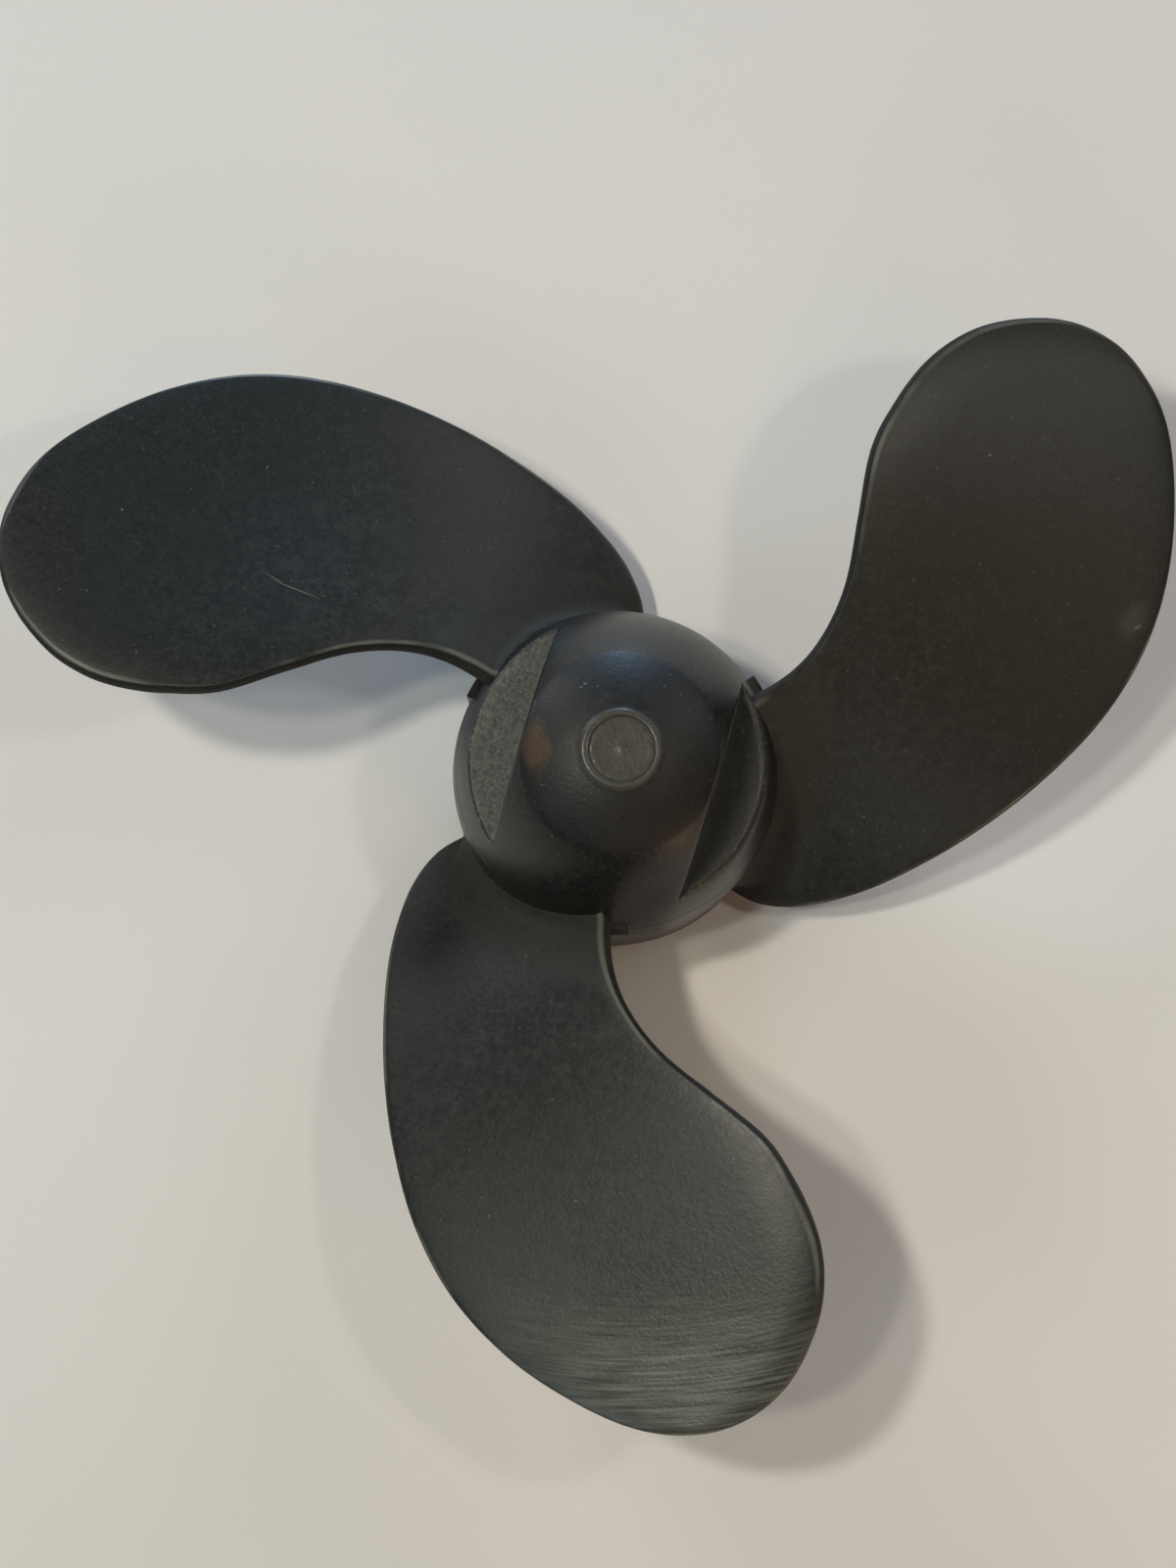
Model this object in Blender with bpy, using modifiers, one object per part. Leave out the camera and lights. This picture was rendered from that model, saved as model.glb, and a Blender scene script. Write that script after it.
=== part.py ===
"""Small three-bladed outboard propeller, right-hand, moulded in glass-filled nylon.

The frame: +Z runs along the shaft towards the nose, which is the aft end, X runs along the split pin,
and the origin is on the shaft axis in the plane of the centre of mass. Lengths are in metres.
"""
import math

import bmesh
import bpy
from mathutils import Vector

MM = 0.001
GAP = 0.3 * MM                    # clearance between pieces that meet

# Blades
BLADE_COUNT = 3
DIAMETER = 188 * MM
PITCH = 145 * MM                  # advance in one turn
RAKE = 0.046                      # rise of the blade towards the nose per unit of radius
GENERATOR_ANGLE = 8.3             # degrees from X to the first blade's generator line
GENERATOR_RADIUS = 50 * MM        # where the generator line stands at GENERATOR_HEIGHT
GENERATOR_HEIGHT = 19.1 * MM      # above the hub's forward face
ROOT_RADIUS = 20 * MM             # where a section starts, inside the barrel's wall

# Outline of a blade: radius in mm, then the leading and the trailing edge in degrees past the generator
OUTLINE = (
    (20, -32.2, 35.2),
    (24, -32.2, 35.3),
    (28, -30.8, 36.2),
    (33, -25.9, 38.9),
    (40, -16.8, 44.9),
    (48, -6.9, 53.0),
    (56, 1.2, 58.7),
    (64, 8.2, 60.4),
    (72, 14.7, 60.4),
    (79, 21.0, 58.8),
    (85, 27.8, 56.0),
    (89.5, 34.1, 53.0),
    (92.5, 39.0, 49.6),
    (94, 44.7, 44.7),
)
ROOT_THICKNESS = 6.2 * MM         # at the middle of the section where the blade leaves the barrel
TIP_THICKNESS = 3.0 * MM
EDGE_THICKNESS = 2.5 * MM
BLUNT_THICKNESS = 3.6 * MM        # trailing edge at the root
BLUNT_REACH = 12 * MM             # how far out of the barrel the trailing edge stays blunt
TIP_ROUNDING = 1.3 * MM
FACE_FILLET = 5.0 * MM            # between the blade's faces and the barrel, at the leading edge
END_FILLET = 0.3 * MM             # the same at both ends of the section
STATIONS = 36                     # sections between root and tip
STATION_PACKING = 0.7             # 0 for even stations, towards 1 for stations packed at root and tip
FACE_STEPS = 8                    # steps along each face of a section
EDGE_STEPS = 4                    # steps round each edge

# Hub, heights above the forward face
BARREL_RADIUS = 24 * MM
BARREL_HEIGHT = 20 * MM           # straight part, before the ogive starts
OGIVE_RADIUS = 38 * MM
CREASE_RADIUS = 13.9 * MM         # circle where the ogive turns into the crown
CROWN_RADIUS = 24.2 * MM
DECK_HEIGHT = 34 * MM             # floors of the two pin notches
DECK_THICKNESS = 3 * MM
WALL_THICKNESS = 3 * MM
FACE_CHAMFER = 0.5 * MM
PLANE_HEIGHT = 27.0 * MM          # centre of mass above the forward face
TURN_STEPS = 48

# Nose
FLAT_DISTANCE = 13.8 * MM         # from the shaft axis to each flat
RING_RADIUS = 5.6 * MM
RING_HEIGHT = 0.5 * MM
DISC_RADIUS = 4.6 * MM
DISC_SINK = 0.3 * MM
SPLIT_PIN_HOLE = 4.0 * MM
SPLIT_PIN_HEIGHT = 39.5 * MM

# Shaft boss and ribs
BORE = 12 * MM
BORE_END = 44 * MM                # blind end of the bore in the nose
BOSS_RADIUS = 9.5 * MM
BOSS_START = 2 * MM               # recess of the boss behind the forward face
DRIVE_SLOT_WIDTH = 5.4 * MM
DRIVE_SLOT_DEPTH = 6 * MM
RIB_COUNT = 6
RIB_THICKNESS = 2.6 * MM
RIB_START = 1 * MM
RIB_ANGLE = 30.0                  # degrees from X to the first rib

COLOURS = {
    "outer_hub": (0.030, 0.030, 0.028),
    "nose_cap": (0.034, 0.034, 0.031),
    "inner_hub": (0.028, 0.028, 0.027),
    "rib": (0.026, 0.026, 0.025),
    "blade": (0.032, 0.032, 0.029),
}


def level(height):
    """Z of a height above the hub's forward face."""
    return height - PLANE_HEIGHT


def clear_scene():
    for item in list(bpy.data.objects):
        bpy.data.objects.remove(item, do_unlink=True)


def new_collection(name):
    collection = bpy.data.collections.new(name)
    bpy.context.scene.collection.children.link(collection)
    return collection


def nylon(name, colour):
    material = bpy.data.materials.new(name)
    material.use_nodes = True
    shader = material.node_tree.nodes["Principled BSDF"]
    shader.inputs["Base Color"].default_value = (*colour, 1)
    shader.inputs["Roughness"].default_value = 0.5
    shader.inputs["Metallic"].default_value = 0.0
    return material


def add_object(name, mesh, collection):
    item = bpy.data.objects.new(name, mesh)
    collection.objects.link(item)
    return item


def finish_part(item, kind):
    """Give a part its material and smooth shading."""
    item.data.materials.append(nylon(item.name + "_nylon", COLOURS[kind]))
    item.data.shade_smooth()
    item.data.set_sharp_from_angle(angle=math.radians(35))


def hide_cutter(item):
    item.hide_render = True
    item.display_type = "WIRE"


def mesh_from(name, points, faces):
    mesh = bpy.data.meshes.new(name)
    mesh.from_pydata(points, [], faces)
    mesh.update()
    return mesh


def turned(name, profile, closed, collection):
    """Turn a profile of (radius, height) about Z. It runs down its outer side, top to bottom."""
    mesh = bpy.data.meshes.new(name)
    edges = [(i, i + 1) for i in range(len(profile) - 1)]
    if closed:
        edges.append((len(profile) - 1, 0))
    mesh.from_pydata([(r, 0, level(h)) for r, h in profile], edges, [])
    item = add_object(name, mesh, collection)
    screw = item.modifiers.new("Turn", "SCREW")
    screw.axis = "Z"
    screw.angle = math.tau
    screw.steps = TURN_STEPS
    screw.render_steps = TURN_STEPS
    screw.use_merge_vertices = True
    screw.merge_threshold = 0.00001
    return item


def box(name, low, high, collection):
    mesh = bpy.data.meshes.new(name)
    shape = bmesh.new()
    bmesh.ops.create_cube(shape, size=1)
    size = Vector(high) - Vector(low)
    middle = (Vector(high) + Vector(low)) / 2
    bmesh.ops.scale(shape, vec=size, verts=shape.verts)
    bmesh.ops.translate(shape, vec=middle, verts=shape.verts)
    shape.to_mesh(mesh)
    shape.free()
    return add_object(name, mesh, collection)


def cut(item, cutter):
    """Cut a part with a closed cutter, which is then only a hidden guide."""
    modifier = item.modifiers.new("Cut " + cutter.name, "BOOLEAN")
    modifier.operation = "DIFFERENCE"
    modifier.solver = "EXACT"
    modifier.object = cutter
    hide_cutter(cutter)


def ogive_height(radius):
    """Height at which the ogive has this radius."""
    inward = BARREL_RADIUS - radius
    return BARREL_HEIGHT + math.sqrt(OGIVE_RADIUS**2 - (OGIVE_RADIUS - inward)**2)


def ogive_radius(height):
    """Radius of the barrel and the ogive at a height."""
    above = max(0, height - BARREL_HEIGHT)
    return BARREL_RADIUS - OGIVE_RADIUS + math.sqrt(OGIVE_RADIUS**2 - above**2)


def crown_height(radius):
    drop = math.sqrt(CROWN_RADIUS**2 - radius**2) - math.sqrt(CROWN_RADIUS**2 - CREASE_RADIUS**2)
    return ogive_height(CREASE_RADIUS) + drop


def steps_between(start, end, count):
    return [start + (end - start) * i / count for i in range(count + 1)]


def hub_outside(top, bottom, count):
    """Points down the outside of the barrel and ogive, from one height to a lower one."""
    heights = steps_between(top, BARREL_HEIGHT, count) + [bottom]
    return [(ogive_radius(h), h) for h in heights]


def smooth_value(knots, values, place):
    """Cubic curve through (knot, value) pairs with slopes taken from the neighbours."""
    last = len(knots) - 1
    slopes = [
        (values[min(i + 1, last)] - values[max(i - 1, 0)]) / (knots[min(i + 1, last)] - knots[max(i - 1, 0)])
        for i in range(last + 1)
    ]
    i = 0
    while i < last - 1 and place > knots[i + 1]:
        i += 1
    width = knots[i + 1] - knots[i]
    t = (place - knots[i]) / width
    start = (2 * t**3 - 3 * t**2 + 1) * values[i] + (t**3 - 2 * t**2 + t) * width * slopes[i]
    end = (3 * t**2 - 2 * t**3) * values[i + 1] + (t**3 - t**2) * width * slopes[i + 1]
    return start + end


def span_place(radius):
    """0 at the root and 1 at the tip, with equal steps packed towards the tip."""
    reach = DIAMETER / 2 - ROOT_RADIUS
    return 1 - math.sqrt(max(0, DIAMETER / 2 - radius) / reach)


def span_radius(place):
    return DIAMETER / 2 - (DIAMETER / 2 - ROOT_RADIUS) * (1 - place)**2


def station_place(share):
    """Place of a station, packed at the root for the fillet and at the tip for the rounding."""
    return share - STATION_PACKING * math.sin(math.tau * share) / math.tau


def edge_angles(place):
    knots = [span_place(row[0] * MM) for row in OUTLINE]
    leading = smooth_value(knots, [row[1] for row in OUTLINE], place)
    trailing = smooth_value(knots, [row[2] for row in OUTLINE], place)
    return math.radians(leading), math.radians(trailing)


def helicoid(radius, angle):
    """Point of the blade's middle surface and the direction across the blade there."""
    lead = PITCH / math.tau
    z = level(GENERATOR_HEIGHT) + lead * angle + RAKE * (radius - GENERATOR_RADIUS)
    outward = Vector((math.cos(angle), math.sin(angle), RAKE))
    along = Vector((-radius * math.sin(angle), radius * math.cos(angle), lead))
    point = Vector((radius * math.cos(angle), radius * math.sin(angle), z))
    return point, outward.cross(along).normalized()


def fillet_flare(point, size):
    """How far a fillet of this size widens the section at a point near the hub."""
    out = math.hypot(point.x, point.y) - ogive_radius(point.z + PLANE_HEIGHT)
    share = min(1, max(0, 1 - out / size))
    return size * (1 - math.sqrt(1 - share**2))


def around_axis(point, across, offset):
    """Move a point across the blade while it keeps its distance from the axis."""
    moved = point + across * offset
    reach = math.hypot(point.x, point.y) / math.hypot(moved.x, moved.y)
    return Vector((moved.x * reach, moved.y * reach, moved.z))


def section(place):
    """Closed loop of points round the blade at one radius."""
    radius = span_radius(place)
    leading, trailing = edge_angles(place)
    stretch = math.sqrt(radius**2 + (PITCH / math.tau)**2)
    half_chord = (trailing - leading) * stretch / 2
    out = max(0, radius - BARREL_RADIUS)
    share = out / (DIAMETER / 2 - BARREL_RADIUS)
    middle = ROOT_THICKNESS + (TIP_THICKNESS - ROOT_THICKNESS) * share
    blunt = max(0, 1 - out / BLUNT_REACH)
    to_tip = max(0, radius - (DIAMETER / 2 - TIP_ROUNDING)) / TIP_ROUNDING
    rounding = math.sqrt(max(0, 1 - to_tip**2))
    lead_half = min(EDGE_THICKNESS / 2 * rounding, half_chord * 0.45)
    trail_half = EDGE_THICKNESS / 2 + (BLUNT_THICKNESS - EDGE_THICKNESS) / 2 * blunt
    trail_half = min(trail_half * rounding, half_chord * 0.45)
    middle_half = max(middle / 2 * rounding, lead_half)
    start = leading + lead_half / stretch
    end = trailing - trail_half / stretch
    face = []
    for step in range(FACE_STEPS + 1):
        along = (1 - math.cos(math.pi * step / FACE_STEPS)) / 2
        edge = lead_half + (trail_half - lead_half) * along
        crown = (middle_half - max(lead_half, trail_half)) * (4 * along * (1 - along))**0.8
        fillet = END_FILLET + (FACE_FILLET - END_FILLET) * (1 - along) * min(1, 8 * along)
        face.append((start + (end - start) * along, edge + max(0, crown), fillet))
    loop = list(face)
    for step in range(1, EDGE_STEPS):
        turn = math.pi / 2 - math.pi * step / EDGE_STEPS
        angle = end + trail_half * math.cos(turn) / stretch
        loop.append((angle, trail_half * math.sin(turn), END_FILLET))
    loop += [(angle, -offset, fillet) for angle, offset, fillet in reversed(face)]
    for step in range(1, EDGE_STEPS):
        turn = -math.pi / 2 + math.pi * step / EDGE_STEPS
        angle = start - lead_half * math.cos(turn) / stretch
        loop.append((angle, lead_half * math.sin(turn), END_FILLET))
    points = []
    for angle, offset, fillet in loop:
        point, across = helicoid(radius, angle)
        flare = math.copysign(fillet_flare(point, fillet), offset)
        points.append(around_axis(point, across, offset + flare))
    return points


def blade_mesh(name):
    """Loft the sections from root to tip and close both ends."""
    rings = [section(station_place(i / STATIONS)) for i in range(STATIONS)]
    count = len(rings[0])
    points = [point for ring in rings for point in ring]
    faces = []
    for row in range(STATIONS - 1):
        for i in range(count):
            j = (i + 1) % count
            faces.append((row * count + i, row * count + j, (row + 1) * count + j, (row + 1) * count + i))
    root_middle = len(points)
    points.append(sum(rings[0], Vector()) / count)
    tip = len(points)
    tip_angle = math.radians(OUTLINE[-1][1])
    points.append(helicoid(DIAMETER / 2, tip_angle)[0])
    last = (STATIONS - 1) * count
    for i in range(count):
        j = (i + 1) % count
        faces.append((root_middle, j, i))
        faces.append((tip, last + i, last + j))
    mesh = mesh_from(name, points, faces)
    shape = bmesh.new()
    shape.from_mesh(mesh)
    bmesh.ops.recalc_face_normals(shape, faces=shape.faces)
    bmesh.ops.triangulate(shape, faces=shape.faces)
    shape.to_mesh(mesh)
    shape.free()
    return mesh


def make_outer_hub(parts):
    inner = BARREL_RADIUS - WALL_THICKNESS
    under = DECK_HEIGHT - DECK_THICKNESS
    hole = BOSS_RADIUS + GAP
    profile = hub_outside(DECK_HEIGHT, FACE_CHAMFER, 6)
    profile += [(BARREL_RADIUS - FACE_CHAMFER, 0), (inner, 0)]
    profile += [(ogive_radius(h) - WALL_THICKNESS, h) for h in steps_between(BARREL_HEIGHT, under, 4)]
    profile += [(hole, under), (hole, DECK_HEIGHT)]
    item = turned("outer_hub", profile, True, parts)
    finish_part(item, "outer_hub")
    return item


def make_nose_cap(parts, cutters):
    base = DECK_HEIGHT + GAP
    top = crown_height(RING_RADIUS) + RING_HEIGHT
    sunk = top - DISC_SINK
    profile = [(0, sunk), (DISC_RADIUS - 0.2 * MM, sunk), (DISC_RADIUS, top), (RING_RADIUS - 0.2 * MM, top)]
    profile.append((RING_RADIUS, crown_height(RING_RADIUS)))
    profile += [(r, crown_height(r)) for r in steps_between(RING_RADIUS + 2 * MM, CREASE_RADIUS, 4)]
    crease = ogive_height(CREASE_RADIUS)
    profile += [(ogive_radius(h), h) for h in steps_between(crease, base, 8)[1:]]
    profile += [(BORE / 2, base), (BORE / 2, BORE_END), (0, BORE_END + BORE / 4)]
    item = turned("nose_cap", profile, False, parts)
    reach = BARREL_RADIUS + 5 * MM
    for side, name in ((1, "flat_cutter_right"), (-1, "flat_cutter_left")):
        ends = sorted((side * FLAT_DISTANCE, side * reach))
        low = (ends[0], -reach, level(DECK_HEIGHT - 2 * MM))
        high = (ends[1], reach, level(top + 5 * MM))
        cut(item, box(name, low, high, cutters))
    cut(item, split_pin_drill(cutters))
    finish_part(item, "nose_cap")
    return item


def split_pin_drill(cutters):
    mesh = bpy.data.meshes.new("split_pin_drill")
    shape = bmesh.new()
    bmesh.ops.create_cone(
        shape, cap_ends=True, segments=16, radius1=SPLIT_PIN_HOLE / 2, radius2=SPLIT_PIN_HOLE / 2,
        depth=4 * FLAT_DISTANCE,
    )
    shape.to_mesh(mesh)
    shape.free()
    drill = add_object("split_pin_drill", mesh, cutters)
    drill.rotation_euler = (0, math.pi / 2, 0)
    drill.location = (0, 0, level(SPLIT_PIN_HEIGHT))
    return drill


def make_inner_hub(parts, cutters):
    chamfer = 0.8 * MM
    profile = [
        (BOSS_RADIUS, DECK_HEIGHT),
        (BOSS_RADIUS, BOSS_START + chamfer),
        (BOSS_RADIUS - chamfer, BOSS_START),
        (BORE / 2 + chamfer, BOSS_START),
        (BORE / 2, BOSS_START + chamfer),
        (BORE / 2, DECK_HEIGHT),
    ]
    item = turned("inner_hub", profile, True, parts)
    reach = BOSS_RADIUS + 2 * MM
    low = (-reach, -DRIVE_SLOT_WIDTH / 2, level(BOSS_START - 2 * MM))
    high = (reach, DRIVE_SLOT_WIDTH / 2, level(BOSS_START + DRIVE_SLOT_DEPTH))
    cut(item, box("drive_slot_cutter", low, high, cutters))
    finish_part(item, "inner_hub")
    return item


def make_ribs(parts):
    """Webs between the shaft boss and the barrel, a clearance away from both."""
    inner = BOSS_RADIUS + GAP
    outer = BARREL_RADIUS - WALL_THICKNESS - GAP
    sagitta = outer - math.sqrt(outer**2 - (RIB_THICKNESS / 2)**2)
    top = DECK_HEIGHT - DECK_THICKNESS - GAP
    knee = BARREL_HEIGHT
    narrow = ogive_radius(top) - WALL_THICKNESS - GAP - sagitta
    corners = [
        (inner, RIB_START), (outer - sagitta, RIB_START), (outer - sagitta, knee), (narrow, top), (inner, top),
    ]
    count = len(corners)
    for number in range(RIB_COUNT):
        name = f"rib_{number + 1}"
        points = [(r, side * RIB_THICKNESS / 2, level(h)) for side in (-1, 1) for r, h in corners]
        faces = [tuple(range(count)), tuple(reversed(range(count, 2 * count)))]
        faces += [((i + 1) % count, i, count + i, count + (i + 1) % count) for i in range(count)]
        item = add_object(name, mesh_from(name, points, faces), parts)
        item.rotation_euler = (0, 0, math.radians(RIB_ANGLE) + math.tau * number / RIB_COUNT)
        finish_part(item, "rib")


def make_blades(parts, cutters):
    grown = [(r + GAP, h) for r, h in hub_outside(DECK_HEIGHT + 6 * MM, 0, 8)]
    profile = [(0, grown[0][1])] + grown[:-1]
    profile += [(BARREL_RADIUS + GAP, -5 * MM), (0, -5 * MM)]
    hub_form = turned("hub_form_cutter", profile, False, cutters)
    mesh = blade_mesh("blade")
    for number in range(BLADE_COUNT):
        item = add_object(f"blade_{number + 1}", mesh.copy(), parts)
        item.rotation_euler = (0, 0, math.radians(GENERATOR_ANGLE) + math.tau * number / BLADE_COUNT)
        cut(item, hub_form)
        finish_part(item, "blade")


def main():
    clear_scene()
    parts = new_collection("outboard_propeller")
    cutters = new_collection("cutters")
    make_outer_hub(parts)
    make_nose_cap(parts, cutters)
    make_inner_hub(parts, cutters)
    make_ribs(parts)
    make_blades(parts, cutters)


main()
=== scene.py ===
# %% [markdown]
# # A small outboard motor propeller, nose up on a pale floor
# This file is a lesson in cells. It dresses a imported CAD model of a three-bladed propeller that was moulded
# in one shot from glass-filled nylon. The CAD solids stay as the fixed frame. The hub, the ribs inside it and
# the three blades stand for them, and the lugs at the blade roots are added.

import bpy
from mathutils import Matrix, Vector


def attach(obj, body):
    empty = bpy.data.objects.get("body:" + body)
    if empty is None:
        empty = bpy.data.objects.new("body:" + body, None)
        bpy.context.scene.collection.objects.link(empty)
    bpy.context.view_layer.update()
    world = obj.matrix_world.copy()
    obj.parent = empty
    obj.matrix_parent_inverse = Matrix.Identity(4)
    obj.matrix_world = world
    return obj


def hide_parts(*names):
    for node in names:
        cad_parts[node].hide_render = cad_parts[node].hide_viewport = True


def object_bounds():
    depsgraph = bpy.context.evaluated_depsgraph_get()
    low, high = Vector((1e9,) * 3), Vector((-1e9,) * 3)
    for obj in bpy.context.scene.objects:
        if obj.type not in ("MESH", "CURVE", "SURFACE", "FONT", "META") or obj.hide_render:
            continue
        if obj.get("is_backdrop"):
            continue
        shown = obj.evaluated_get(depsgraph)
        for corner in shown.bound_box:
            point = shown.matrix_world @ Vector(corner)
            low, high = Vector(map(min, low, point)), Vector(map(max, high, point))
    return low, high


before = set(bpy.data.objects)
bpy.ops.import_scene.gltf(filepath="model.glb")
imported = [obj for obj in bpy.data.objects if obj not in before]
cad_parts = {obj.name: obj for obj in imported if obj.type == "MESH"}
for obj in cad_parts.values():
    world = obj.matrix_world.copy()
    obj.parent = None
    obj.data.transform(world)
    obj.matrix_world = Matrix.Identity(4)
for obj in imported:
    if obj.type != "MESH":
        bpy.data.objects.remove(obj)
cad_low, cad_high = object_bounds()
print("CAD nodes:", sorted(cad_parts))

# %% Tools of the trade
import math

import bmesh
import bpy
import numpy as np
from mathutils import Euler, Vector

MM = 0.001
DEGREE = math.pi / 180

# %% [markdown]
# ## Helpers
# Colours are written as sRGB hex codes, because that is what a paint chart or a colour picker gives. Shaders
# want linear light, so one function turns them. Node trees are built by one function too. It adds a node,
# gives it its settings, and feeds its inputs: what can be linked is linked, and a plain value is set.


# %% Colour from a hex code
def paint(code):
    """Linear RGBA of an sRGB hex code such as 2b2c2a."""
    parts = [int(code[i:i + 2], 16) / 255 for i in (0, 2, 4)]
    linear = [c / 12.92 if c <= 0.04045 else ((c + 0.055) / 1.055)**2.4 for c in parts]
    return (*linear, 1.0)


print("charcoal in linear light:", [round(c, 4) for c in paint("2b2c2a")])


# %% Add a node with its settings and links
def add(tree, kind, feeds=(), **settings):
    """Add a node. A list feeds its inputs in order, a dict by name, and a node gives its first output."""
    node = tree.nodes.new(kind)
    for name, value in settings.items():
        setattr(node, name, value)
    for key, feed in feeds.items() if isinstance(feeds, dict) else enumerate(feeds):
        source = feed.outputs[0] if isinstance(feed, bpy.types.Node) else feed
        if isinstance(source, bpy.types.NodeSocket):
            tree.links.new(source, node.inputs[key])
        elif source is not None:
            node.inputs[key].default_value = source
    return node


MATH = "ShaderNodeMath"
VECTOR_MATH = "ShaderNodeVectorMath"


# %% Follow a table of sums
def follow(tree, table, known):
    """Add a Math node for each row (result, operation, feeds...), where a feed is a number or a known name.

    An operation that ends in a star holds its result between 0 and 1.
    """
    for result, operation, *feeds in table:
        held = operation.endswith("*")
        feeds = [known.get(f, f) for f in feeds]
        known[result] = add(tree, MATH, feeds, operation=operation.rstrip("*"), use_clamp=held)
    return known


# %% [markdown]
# ## Sizes
# These are the sizes of the CAD source, but for the tip circle, which is 0.1 mm smaller here, so that smooth
# blades stay within the solids' facets. A propeller is a slice of a screw: a blade's middle surface climbs by
# the pitch in one turn. The outline says where the leading and the trailing edge stand at each radius in
# millimetres, in degrees past the line that the blade is built on. The hub is a straight barrel with an ogive
# on it, which a crease turns into a rounder crown.

# %% Sizes of the blades
BLADE_COUNT = 3
TIP_RADIUS = 93.95 * MM
ROOT_RADIUS = 20 * MM
PITCH = 145 * MM
RAKE = 0.046
GENERATOR_ANGLE = 8.3 * DEGREE
GENERATOR_RADIUS = 50 * MM
GENERATOR_HEIGHT = 19.1 * MM
OUTLINE = (
    (20, -32.2, 35.2),
    (24, -32.2, 35.3),
    (28, -30.8, 36.2),
    (33, -25.9, 38.9),
    (40, -16.8, 44.9),
    (48, -6.9, 53.0),
    (56, 1.2, 58.7),
    (64, 8.2, 60.4),
    (72, 14.7, 60.4),
    (79, 21.0, 58.8),
    (85, 27.8, 56.0),
    (89.5, 34.1, 53.0),
    (92.5, 39.0, 49.6),
    (94, 44.7, 44.7),
)
ROOT_THICKNESS = 6.2 * MM
TIP_THICKNESS = 3.0 * MM
EDGE_THICKNESS = 2.5 * MM
BLUNT_THICKNESS = 3.6 * MM
BLUNT_REACH = 12 * MM
TIP_ROUNDING = 1.3 * MM
FACE_FILLET = 5.0 * MM
END_FILLET = 0.3 * MM
print(BLADE_COUNT, "blades with a pitch of", round(PITCH / MM), "mm")

# %% Sizes of the hub, heights above its forward face
BARREL_RADIUS = 24 * MM
BARREL_HEIGHT = 20 * MM
OGIVE_RADIUS = 38 * MM
CREASE_RADIUS = 13.9 * MM
CROWN_RADIUS = 24.2 * MM
DECK_HEIGHT = 34 * MM
DECK_THICKNESS = 3 * MM
WALL_THICKNESS = 3 * MM
PLANE_HEIGHT = 27.0 * MM
FLAT_DISTANCE = 13.8 * MM
RING_RADIUS = 5.6 * MM
RING_HEIGHT = 0.5 * MM
DISC_SINK = 0.3 * MM
SPLIT_PIN_HOLE = 4.0 * MM
SPLIT_PIN_HEIGHT = 39.5 * MM
BORE = 12 * MM
BORE_END = 44 * MM
BOSS_RADIUS = 9.5 * MM
BOSS_START = 2 * MM
DRIVE_SLOT_WIDTH = 5.4 * MM
DRIVE_SLOT_DEPTH = 6 * MM
RIB_COUNT = 6
RIB_THICKNESS = 2.6 * MM
RIB_START = 1 * MM
RIB_ANGLE = 30 * DEGREE
print("barrel", round(2 * BARREL_RADIUS / MM), "mm wide, bore", round(BORE / MM), "mm")

# %% [markdown]
# ## Camera
# The photograph was taken from nearly above with a phone. Matching the blade edges, the flats and the crease
# to the picture gave the place, the turn and the lens of this camera. The picture is 1200 by 1600 pixels,
# and a focal length of 2750 pixels is 61.9 mm on a 36 mm sensor.

# %% Camera at the photograph's angle
SENSOR = 36
FOCAL_PIXELS = 2750
PICTURE_HEIGHT = 1600


def in_scene(name, data):
    """A new object that holds the data, linked into the scene."""
    item = bpy.data.objects.new(name, data)
    bpy.context.scene.collection.objects.link(item)
    return item


camera_data = bpy.data.cameras.new("photo_camera")
camera_data.sensor_width = SENSOR
camera_data.lens = SENSOR * FOCAL_PIXELS / PICTURE_HEIGHT
camera_data.clip_start = 0.01
camera = in_scene("photo_camera", camera_data)
camera.location = (0.0041521, -0.0494229, 0.3888631)
camera.rotation_euler = Euler([a * DEGREE for a in (6.80452, -0.87826, 16.56823)], "XYZ")
bpy.context.scene.camera = camera
print("camera stands", round(camera.location.z / MM + PLANE_HEIGHT / MM), "mm above the floor")

# %% [markdown]
# ## Stage
# The propeller lies on a plain pale floor. The main light stands high on the left of the picture and throws
# the crisp shadows. Near-black satin plastic shows little but what it mirrors, so the other lights stand
# where the blades and the dome look: a second one beside the main one for the lower blade's tip, wide cool
# ones at the lower left, the upper left and the horizon behind the top, and weak warm ones on the right and
# below. In the model's frame the picture's right hand is 12 degrees past X. The plain sRGB curve keeps
# near-black as deep as the picture has it.

# %% Floor and air
PHOTO_TURN = 12.24 * DEGREE
FLOOR_REACH = 6.0
FLOOR_Z = -PLANE_HEIGHT


def new_material(name, ior):
    """A material, its tree and shader, and the object's coordinates, which place its patterns."""
    material = bpy.data.materials.new(name)
    material.use_nodes = True
    tree = material.node_tree
    shader = tree.nodes["Principled BSDF"]
    shader.inputs["IOR"].default_value = ior
    return material, tree, shader, add(tree, "ShaderNodeTexCoord").outputs["Object"]


def matt_card():
    """Coated card: matt, off-white, with a tooth too fine to see that only breaks up its shine."""
    material, tree, shader, place = new_material("matt_off_white_card", 1.45)
    cloud = add(tree, "ShaderNodeTexNoise", {"Vector": place, "Scale": 3.0, "Detail": 2.0})
    tone = add(tree, "ShaderNodeMix", {0: cloud, 6: paint("f4f3f2"), 7: paint("f8f7f6")}, data_type="RGBA")
    tree.links.new(tone.outputs[2], shader.inputs["Base Color"])
    shader.inputs["Roughness"].default_value = 0.85
    return material


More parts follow.
